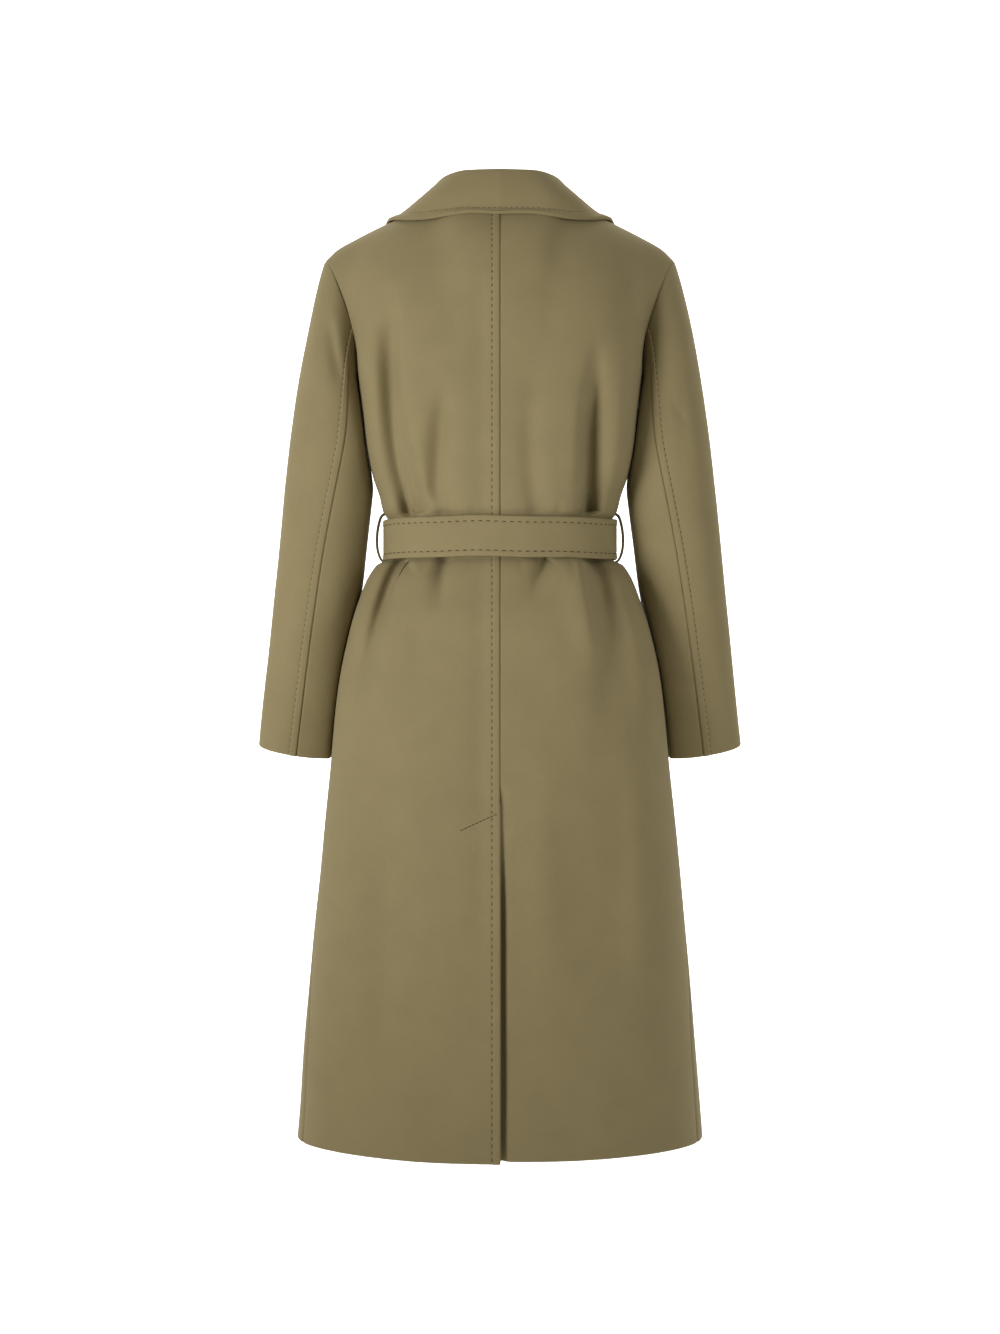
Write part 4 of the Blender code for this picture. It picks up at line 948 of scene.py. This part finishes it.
def add_panel(name, side, point):
    """A back or front as a thin wall. Gives its piece, the grid of its outside and normals there."""
    back = point is back_point
    heights = UNDERARM + np.minimum(LEVELS, 0.0)
    first = 0 * LEVELS
    if back and side < 0:
        open_vent = np.clip((VENT_TOP - heights) / (VENT_TOP - VENT_SLANT_END), 0, 1)
        first = -open_vent * VENT_UNDERLAP / read(BODY, "back_depth", heights) / side_angle(heights)
    start = PLAIN if back and side < 0 else WELTED
    shares = spread(lambda s, v: point(side, s, v), LEVELS, first, start, PLAIN, STEP if back else FRONT_STEP)
    levels = LEVELS[:, None] + 0 * shares
    outer = point(side, shares, levels)
    normals = surface_normals(point, side, shares, levels)
    low = ease(1 - (levels - LEVELS[0]) / HEM_BLEND)
    outer[..., 2] += low * hem_rise(point, side, shares)
    away = edge_distances(outer)
    if back:
        weights = ease((away["first"] - EVEN_FIRST) / EVEN_FADE)
        weights = weights * ease((away["last"] - EVEN_LAST) / EVEN_FADE)
        weights = weights * ease(away["top"] / EVEN_TOP) * ease((levels - EVEN_LEVEL) / EVEN_RISE)
        outer = evened(outer, weights)
        flat = grid_normals(outer)
        flat *= np.sign(np.sum(flat * normals, axis=-1, keepdims=True))
        normals = unit(normals * (1 - weights[..., None]) + flat * weights[..., None])
    base = outer.copy()
    drop = panel_drop(back, side, outer, away)
    outer[..., 1] -= crease_depth(base, normals, BODY_CREASES)
    if not back:
        outer[..., 1] += crease_depth(base, normals, FRONT_CREASES, -1)
    sink = share_rims(back, side, shares, normals)
    high = LEVELS >= 0
    outer = outer - normals * drop[..., None]
    outer[high, -1] = base[high, -1] - sink * ARMHOLE_GROOVE
    outer[:, -1] += unit(outer[:, -2] - outer[:, -1]) * SEWN_GAP
    outer[-1] += unit(outer[-2] - outer[-1]) * SEWN_GAP
    if back:
        outer[:, 0] += unit(outer[:, 1] - outer[:, 0]) * SEWN_GAP
    loose = (heights < VENT_TOP) * 1.0 if back else (LEVELS <= 0) * 1.0
    piece = add_wall(name, outer, outer - normals * CLOTH, {"bottom": 1.0, "first": loose})
    return piece, outer, normals


# Sleeves
SLEEVE_HALVES = {"top": (FRONT_SEAM_TURN, 1 + BACK_SEAM_TURN), "under": (BACK_SEAM_TURN, FRONT_SEAM_TURN)}


def add_sleeve(side, word, part):
    """The top or under half of a sleeve."""
    begin, end = SLEEVE_HALVES[part]

    def form(share, level):
        return sleeve_point((begin + (end - begin) * share) % 1, level)

    shares = spread(form, SLEEVE_LEVELS, 0 * SLEEVE_LEVELS, PLAIN, WELTED if part == "top" else PLAIN)
    turns = (begin + (end - begin) * shares) % 1
    levels = SLEEVE_LEVELS[:, None] + 0 * shares
    outer = mirrored(sleeve_point(turns, levels), side)
    normals = mirrored(sleeve_normals(turns, levels), side)
    _, rim, sink = (mirrored(vectors, side) for vectors in armhole_rim(turns[0]))
    normals[0] = rim
    seam = outer[0] - sink * ARMHOLE_GROOVE
    away = edge_distances(outer)
    drop = groove(away["first"]) + groove(away["last"]) - unevenness(outer)
    drop += groove(away["bottom"]) * ARMHOLE_GROOVE / GROOVE_DEPTH
    depth = crease_depth(outer, normals, SLEEVE_CREASES)
    if part == "top":
        drop -= welt(away["last"])
    outer = outer - normals * drop[..., None]
    outer[..., 1] -= depth
    outer[0] = seam + unit(outer[1] - seam) * SEWN_GAP
    outer[:, 0] += unit(outer[:, 1] - outer[:, 0]) * SEWN_GAP
    outer[:, -1] += unit(outer[:, -2] - outer[:, -1]) * SEWN_GAP
    piece = add_wall(f"sleeve_{word}_{part}", outer, outer - normals * CLOTH, {"top": 1.0})
    return piece, outer, normals


# Collar and lapels
COLLAR_PLACES = np.linspace(-1.0, 1.0, 191)
COLLAR_STATIONS = np.concatenate([
    np.linspace(0.0, 2.0, 12), np.linspace(2.0, 4.0, 17)[1:], np.linspace(4.0, 5.6, 18)[1:],
    (5.65, 5.69, 5.715, 5.74, 5.78, 5.83, 5.88, 5.92, 5.95, 5.975, 6.0),
])
COLLAR_FALL = 4  # the station past the fold, where the collar starts to fall
COLLAR_SMOOTHING = 40  # rounds
COLLAR_STITCH_MARGIN = 4  # columns at each end without stitching
OUTWARD_RISE = 0.12  # outward leans up on the shoulders
BEFORE_FRONT = -1.0
FRONT_FACE = -0.12
LAPEL_BREAK_WIDTH = np.array([0.012, -0.002])


def lifted(point, tree, clearance):
    """A point moved out until it clears the cloth below it."""
    near, normal, _, _ = tree.find_nearest(Vector(point))
    normal = np.array(normal)
    if normal @ np.array([near.x, near.y, OUTWARD_RISE]) < 0:
        normal = -normal
    height = (point - np.array(near)) @ normal
    return point + normal * max(0.0, clearance - height)


def collar_inside(tree):
    """The side of the collar that is inside its fold, from its right front end to its left one."""
    place = COLLAR_PLACES
    side = np.where(place < 0, -1.0, 1.0)[:, None] * np.array([1.0, 0, 0]) + np.array([0.0, 1, 1])
    neck, fold, edge = (read_point(COLLAR, np.abs(place), p) * side for p in ("neck_", "fold_", "edge_"))
    out = unit((edge - neck) * np.array([1.0, 1.0, 0.0]))
    down = np.array([0.0, 0.0, -COLLAR_ROLL])
    before, after = fold - out * COLLAR_ROLL + down, fold + out * COLLAR_ROLL + down
    bulge = read(COLLAR, "bulge", np.abs(place))[:, None]
    clear = read(COLLAR, "clear", np.abs(place))
    middle = (after + edge) / 2 + (out + np.array([0.0, 0.0, 1.0])) * bulge
    stations = np.array([neck, (neck + before) / 2, before, fold, after, middle, edge])
    knots = np.arange(len(stations), dtype=float)
    grid = np.empty((len(COLLAR_STATIONS), len(place), 3))
    for c in range(len(place)):
        for axis in range(3):
            grid[:, c, axis] = smooth(knots, stations[:, c, axis], COLLAR_STATIONS)
    for r in range(len(COLLAR_STATIONS)):
        if COLLAR_STATIONS[r] > COLLAR_FALL:
            lift = np.array([lifted(p, tree, gap) for p, gap in zip(grid[r], clear)]) - grid[r]
            for _ in range(COLLAR_SMOOTHING):
                lift[1:-1] = (lift[:-2] + 2 * lift[1:-1] + lift[2:]) / 4
            grid[r] += lift
    return grid


def add_collar(tree):
    inner = collar_inside(tree)
    normals = grid_normals(inner)
    normals *= np.sign(normals[-12, len(COLLAR_PLACES) // 2, 1])
    outer = inner + normals * CLOTH
    away = edge_distances(outer)
    edge = np.minimum(away["top"], np.minimum(away["first"], away["last"]))
    outer = outer + normals * welt(edge)[..., None]
    piece = add_wall("collar", outer, inner, {"top": 1.0, "first": 1.0, "last": 1.0})
    line, lean = [], []
    for c in range(COLLAR_STITCH_MARGIN, len(COLLAR_PLACES) - COLLAR_STITCH_MARGIN):
        r = int(np.argmin(np.abs(away["top"][:, c] - STITCH_PLACE)))
        line.append(outer[r, c])
        lean.append(normals[r, c])
    return piece, (np.array(line), np.array(lean))


def on_front(tree, x, z):
    """The point of a front's outside that is seen at x and z from in front."""
    hit = tree.ray_cast(Vector((x, BEFORE_FRONT, z)), Vector((0.0, 1.0, 0.0)))[0]
    if hit is None:
        hit = tree.find_nearest(Vector((x, FRONT_FACE, z)))[0]
    return np.array(hit)


def add_lapel(name, side, tree):
    """A lapel that rolls out from the front's edge and lies on the front."""
    t = np.linspace(0.0, 1.0, 72)[:, None]
    start, top = np.array(LAPEL_BREAK[side]), np.array(LAPEL_TOP)
    tip, bow = np.array(LAPEL_TIP), np.array(LAPEL_BOW[side])
    roll = start + (top - start) * t + np.array([LAPEL_INSET, 0.0])
    edge = (start + LAPEL_BREAK_WIDTH) * (1 - t) ** 2 + 2 * bow * t * (1 - t) + tip * t**2
    across = np.concatenate([np.linspace(0.0, 0.86, 26), np.linspace(0.88, 1.0, 9)])[None, :, None]
    flat = roll[:, None] * (1 - across) + edge[:, None] * across
    grid = np.array([[on_front(tree, side * x, z) for x, z in row] for row in flat])
    normals = grid_normals(grid)
    normals *= -np.sign(normals[..., 1:2].mean())
    under = grid + normals * LAPEL_CLEARANCE
    away = edge_distances(under)
    outer = under + normals * (CLOTH + welt(np.minimum(away["last"], away["top"])))[..., None]
    out = unit(grid[:, 0] - grid[:, 1])
    centre = grid[:, 0] + normals[:, 0] * LAPEL_CLEARANCE / 2 + out * (LAPEL_INSET + SEAM_GAP)
    turns = np.radians(np.linspace(170.0, 0.0, 9))
    spoke = np.cos(turns)[None, :, None] * normals[:, :1] + np.sin(turns)[None, :, None] * out[:, None]
    under = np.concatenate([centre[:, None] + spoke * LAPEL_CLEARANCE / 2, under], axis=1)
    outer = np.concatenate([centre[:, None] + spoke * (LAPEL_CLEARANCE / 2 + CLOTH), outer], axis=1)
    return add_wall(name, outer, under, {"top": 1.0, "last": 1.0, "bottom": 1.0})


# Belt, knot, hanging ends and loops
STRAP_INSETS = np.array([  # places in from a strap's edge
    0.0006, 0.0013, 0.0024, 0.0040, 0.0058, 0.0068, 0.0075, 0.0082, 0.0092, 0.0110, 0.0140, 0.0190,
])
STRAP_EDGE = 0.45  # thickness at the edge, as a share of the full one
STRAP_ROUND = 0.0022
STRAP_STITCH = 0.0078  # from the edge to the topstitching
STRAP_DENT = 0.0006
STRAP_DENT_WIDTH = 0.0011
STRAP_BAND = 0.0004  # how far the band outside the topstitching stands up
STRAP_BAND_END = 0.0085
STRAP_BAND_FADE = 0.002
BELT_TURN = 1.25  # degrees between columns
BELT_INSIDE = 0.0002
BELT_SWAY = (0.0006, 0.0004)
BELT_SWELL = 0.0004
KNOT_ENDS = 9  # how squarely the knot ends
KNOT_TAPER = 0.20
KNOT_SQUARENESS = 0.6
KNOT_FULL = 0.97
KNOT_SINK = 0.27  # how far its face lies in, with a step up across the slanting fold and a ripple
KNOT_STEP = 0.26
KNOT_RIPPLE = 0.07
KNOT_SLANT = 0.55
KNOT_STEP_WIDTH = 0.05
KNOT_SPREAD = 0.3
TAIL_FALL = 0.10  # a hanging end starts to near the skirt this far down, and lands as far again below
TAIL_TILT = 0.05
TAIL_SMOOTHING = 7  # rows to each side


def belt_radius(angle):
    return ring_radius(angle, BELT_MIDDLE + 0 * angle) + BELT_OFFSET


def strap_profile():
    """Places across a strap from edge to edge, and the height of its face there."""
    across = np.concatenate([STRAP_INSETS - BELT_WIDTH / 2, [0.0], BELT_WIDTH / 2 - STRAP_INSETS[::-1]])
    distance = BELT_WIDTH / 2 - np.abs(across)
    rounded = np.sqrt(1 - np.clip(1 - distance / STRAP_ROUND, 0, 1) ** 2)
    dent = STRAP_DENT * np.exp(-(((distance - STRAP_STITCH) / STRAP_DENT_WIDTH) ** 2))
    band = STRAP_BAND * ease((STRAP_BAND_END - distance) / STRAP_BAND_FADE)
    return across, BELT_CLOTH * (STRAP_EDGE + (1 - STRAP_EDGE) * rounded) - dent + band


def strap_stitch_columns(across):
    """The columns of a strap that its two lines of topstitching follow."""
    return [int(np.argmin(np.abs(across - way * (BELT_WIDTH / 2 - STRAP_STITCH)))) for way in (-1, 1)]


def add_belt():
    angle = np.radians(np.arange(0, 360, BELT_TURN))
    outward = xyz(np.sin(angle), np.cos(angle), 0.0)
    across, face = strap_profile()
    radius = belt_radius(angle)[:, None]
    sway = BELT_SWAY[0] * np.sin(3 * angle + 0.7) + BELT_SWAY[1] * np.sin(7 * angle)
    swell = BELT_SWELL * np.sin(9 * angle + 0.4) * np.sin(4 * angle)
    outside = radius + face + swell[:, None]
    inside = radius + BELT_INSIDE + 0 * face
    heights = BELT_MIDDLE + across + sway[:, None]
    ring = np.concatenate([outside, inside[:, ::-1]], axis=1)
    level = np.concatenate([heights, heights[:, ::-1]], axis=1)
    points = xyz(ring * np.sin(angle)[:, None], ring * np.cos(angle)[:, None], level)
    number = numbered(points)
    after = np.roll(number, -1, axis=0)
    faces = np.stack([number, np.roll(number, -1, axis=1), np.roll(after, -1, axis=1), after], axis=-1)
    piece = add_piece("belt", points.reshape(-1, 3), faces.reshape(-1, 4)[:, ::-1].tolist())
    loop = np.append(np.arange(len(points)), 0)
    return piece, [(points[loop, c], outward[loop]) for c in strap_stitch_columns(across)]


def add_knot():
    """The knot: the strap's end wrapped once over the crossing, drawn into soft folds."""
    place = np.sin(np.radians(np.linspace(-90, 90, 61)))
    taper = 1 - KNOT_TAPER + KNOT_TAPER * np.cos(math.pi / 2 * place)
    size = np.maximum(np.sqrt(np.clip(1 - np.abs(place) ** KNOT_ENDS, 0, 1)) * taper, 0.02)
    angle = np.radians(np.arange(0, 360, 4))
    deep = np.sign(np.cos(angle)) * np.abs(np.cos(angle)) ** KNOT_SQUARENESS
    tall = np.sign(np.sin(angle)) * np.abs(np.sin(angle)) ** KNOT_SQUARENESS
    seat = -float(belt_radius(np.array(math.pi))) - BELT_CLOTH - SEAM_GAP - KNOT_HALF[1]
    along = place[:, None] + 0 * deep
    fold = KNOT_STEP * np.tanh((along - KNOT_SLANT * tall + 0.1) / KNOT_STEP_WIDTH)
    fold = fold + KNOT_RIPPLE * np.sin(9 * along + 2.5 * tall + 0.8)
    front = np.clip(-deep, 0, 1)
    x = KNOT_X + KNOT_HALF[0] * along
    y = seat + KNOT_HALF[1] * size[:, None] * deep * (KNOT_FULL - KNOT_SINK * front + fold * front)
    z = BELT_MIDDLE + KNOT_HALF[2] * size[:, None] * tall * (KNOT_FULL + KNOT_SPREAD * fold * front)
    points = xyz(x, y, z)
    number = numbered(points)
    ahead = np.roll(number, -1, axis=1)
    faces = np.stack([number[:-1], ahead[:-1], ahead[1:], number[1:]], axis=-1).reshape(-1, 4).tolist()
    faces += [number[0, ::-1].tolist(), number[-1].tolist()]
    return add_piece("belt_knot", points.reshape(-1, 3), faces)


def add_tail(name, side, tree):
    """A hanging end of the belt, against the skirt."""
    down = TAIL_LENGTH[side] * np.linspace(0.0, 1.0, 90)
    slant = math.radians(TAIL_SLANT) * side
    landed = TAIL_LANDED[side]
    clearance = landed + (TAIL_CLEARANCE[side] - landed) * (1 - ease((down - TAIL_FALL) / TAIL_FALL))
    reach = math.cos(slant)
    middle = KNOT_X + TAIL_START * side + down * math.sin(slant)
    height = BELT_MIDDLE - KNOT_HALF[2] - TAIL_GAP[side] - down * reach
    depth = []
    for x, z, gap in zip(middle, height, clearance):
        probe = [on_front(tree, x + k * reach * BELT_WIDTH / 2, z)[1] for k in np.linspace(-1, 1, 7)]
        depth.append(min(probe) - gap)
    weights = np.hanning(2 * TAIL_SMOOTHING + 1)
    depth = np.convolve(np.pad(depth, TAIL_SMOOTHING, mode="edge"), weights / weights.sum(), mode="valid")
    across, face = strap_profile()
    tilt = math.sin(slant) * np.minimum(1.0, down / TAIL_TILT)
    x = middle[:, None] + across * reach
    under = xyz(x, depth[:, None], height[:, None] + across * tilt[:, None])
    normals = grid_normals(under)
    normals *= -np.sign(normals[..., 1:2].mean())
    outer = under + normals * face[:, None]
    piece = add_wall(name, outer, under, {"top": 1.0})
    return piece, [(outer[:, c], normals[:, c]) for c in strap_stitch_columns(across)]


def add_loop(name, side):
    """A narrow strip over the belt on the side seam, from the belt's upper edge to its lower one."""
    belt = float(belt_radius(np.array(math.pi / 2))) + BELT_CLOTH
    z = np.linspace(LOOP["height"][-1], LOOP["height"][0], 48)
    x = smooth(LOOP["height"], belt + LOOP["stand"], z)
    across = np.linspace(-0.5, 0.5, 9) * LOOP_WIDTH
    inner = xyz(side * x[:, None], across, z[:, None])
    lean = unit(np.gradient(np.stack([x, z], axis=-1), axis=0))
    normals = xyz(-lean[:, 1] * side, 0.0, lean[:, 0])[:, None] + 0 * inner
    return add_wall(name, inner + normals * LOOP_CLOTH, inner, {"first": 1.0, "last": 1.0})


# The coat
SIDES = ((1, "left"), (-1, "right"))
CHEST_LEVEL = -0.12  # the collar lies on the body above this
pieces, outsides, leans = {}, {}, {}
for side, word in SIDES:
    for part, point in (("back", back_point), ("front", front_point)):
        name = f"{part}_{word}"
        pieces[name], outsides[name], leans[name] = add_panel(name, side, point)
    for part in ("top", "under"):
        name = f"sleeve_{word}_{part}"
        pieces[name], outsides[name], leans[name] = add_sleeve(side, word, part)
panels = ("back_left", "back_right", "front_left", "front_right")
body_tree = tree_of(*(outsides[name][LEVELS > CHEST_LEVEL] for name in panels))
fronts = tree_of(outsides["front_left"], outsides["front_right"])
pieces["collar"], collar_line = add_collar(body_tree)
pieces["belt"], belt_lines = add_belt()
pieces["belt_knot"] = add_knot()
tail_lines = {}
for side, word in SIDES:
    pieces[f"lapel_{word}"] = add_lapel(f"lapel_{word}", side, tree_of(outsides[f"front_{word}"]))
    pieces[f"belt_tail_{word}"], tail_lines[word] = add_tail(f"belt_tail_{word}", side, fronts)
    pieces[f"belt_loop_{word}"] = add_loop(f"belt_loop_{word}", side)

# Stitching
WELT_COLUMN = int(np.argmin(np.abs(WELTED - STITCH_PLACE)))
FRONT_STITCH_TOP = -0.14  # a level
VENT_LINE = (0.0457, -0.7420), (0.0034, -0.7225)  # ends of the slanting line, in x and z
BEHIND = 1.0


def stitch_line(name, rows, column):
    return outsides[name][rows, column], leans[name][rows, column]


stitching = {
    "back_stitches": [stitch_line("back_left", LEVELS < 1.0, WELT_COLUMN)],
    "collar_stitches": [collar_line],
    "belt_stitches": belt_lines,
}
for _, word in SIDES:
    stitching[f"belt_tail_{word}_stitches"] = tail_lines[word]
for _, word in SIDES:
    stitching[f"sleeve_{word}_stitches"] = [stitch_line(f"sleeve_{word}_top", np.s_[1:], -WELT_COLUMN - 1)]
stitching["front_stitches"] = [stitch_line("front_right", LEVELS <= FRONT_STITCH_TOP, WELT_COLUMN)]
back_tree = tree_of(outsides["back_left"])
slant = []
for x, z in np.linspace(*VENT_LINE, 24):
    slant.append(back_tree.ray_cast(Vector((x, BEHIND, z)), Vector((0.0, -1.0, 0.0)))[:2])
stitching["vent_stitches"] = [tuple(np.array([list(hit[k]) for hit in slant]) for k in (0, 1))]
# Pitch, length and radius of the stitches
STITCH_SIZES = {
    "back": (0.0080, 0.0044, 0.00055),
    "front": (0.0080, 0.0044, 0.00055),
    "vent": (0.0043, 0.0038, 0.00050),
    "belt": (0.0091, 0.0050, 0.00055),
    "collar": (0.0064, 0.0024, 0.00036),
    "sleeve": (0.0070, 0.0028, 0.00044),
}
for name, lines in stitching.items():
    add_stitches(name, lines, *STITCH_SIZES[name.split("_")[0]])


# Floor, light and camera
def add_light(name, place, aim, size, power, spread):
    light = bpy.data.lights.new(name, "AREA")
    light.shape = "SQUARE"
    light.size = size
    light.energy = power
    light.spread = math.radians(spread)
    obj = bpy.data.objects.new(name, light)
    obj.location = place
    obj.rotation_euler = (Vector(aim) - Vector(place)).to_track_quat("-Z", "Y").to_euler()
    obj.visible_camera = False
    bpy.context.scene.collection.objects.link(obj)


def add_stage(name, corners, glow):
    """A flat sheet of pale paper, with a glow where it is lit from its far side."""
    material = bpy.data.materials.new(name + "_paper")
    material.use_nodes = True
    shader = material.node_tree.nodes["Principled BSDF"]
    set_inputs(shader, Base_Color=(0.74, 0.74, 0.74, 1.0), Roughness=0.95, Specular_IOR_Level=0.1)
    set_inputs(shader, Emission_Color=(1.0, 1.0, 1.0, 1.0), Emission_Strength=glow)
    mesh = bpy.data.meshes.new(name)
    mesh.from_pydata(corners, [], [(0, 1, 2, 3)])
    mesh.materials.append(material)
    obj = bpy.data.objects.new(name, mesh)
    bpy.context.scene.collection.objects.link(obj)


FLOOR = -1.42
BACKDROP = -6.5
BACKDROP_TOP = 6
WIDE = 9  # half the width of floor and backdrop
CHEST = (0.0, 0.0, -0.28)
LENS = 74.2
far, near = [(-WIDE, BACKDROP, FLOOR), (WIDE, BACKDROP, FLOOR)], [(WIDE, WIDE, FLOOR), (-WIDE, WIDE, FLOOR)]
add_stage("floor", far + near, 0.0)
add_stage("backdrop", far[::-1] + [(-WIDE, BACKDROP, BACKDROP_TOP), (WIDE, BACKDROP, BACKDROP_TOP)], 0.95)
add_light("key", (2.25, 2.0, -0.50), CHEST, 1.4, 5.9, 42)
add_light("fill", (-2.3, 1.9, -0.45), CHEST, 1.8, 2.8, 42)
add_light("background", (0.0, -3.8, 2.8), (0.0, -3.8, FLOOR), 4.6, 330.0, 120)
world = bpy.data.worlds.new("studio")
world.use_nodes = True
set_inputs(world.node_tree.nodes["Background"], Color=(1.0, 0.98, 0.88, 1.0), Strength=0.31)
bpy.context.scene.world = world
bpy.context.scene.view_settings.view_transform = "Standard"
camera = bpy.data.objects.new("camera", bpy.data.cameras.new("camera"))
camera.location = (0.0, VIEW_DISTANCE, EYE_HEIGHT)
camera.rotation_euler = (math.pi / 2, 0.0, math.pi)
camera.data.lens = LENS
bpy.context.scene.collection.objects.link(camera)
bpy.context.scene.camera = camera

bpy.context.view_layer.update()
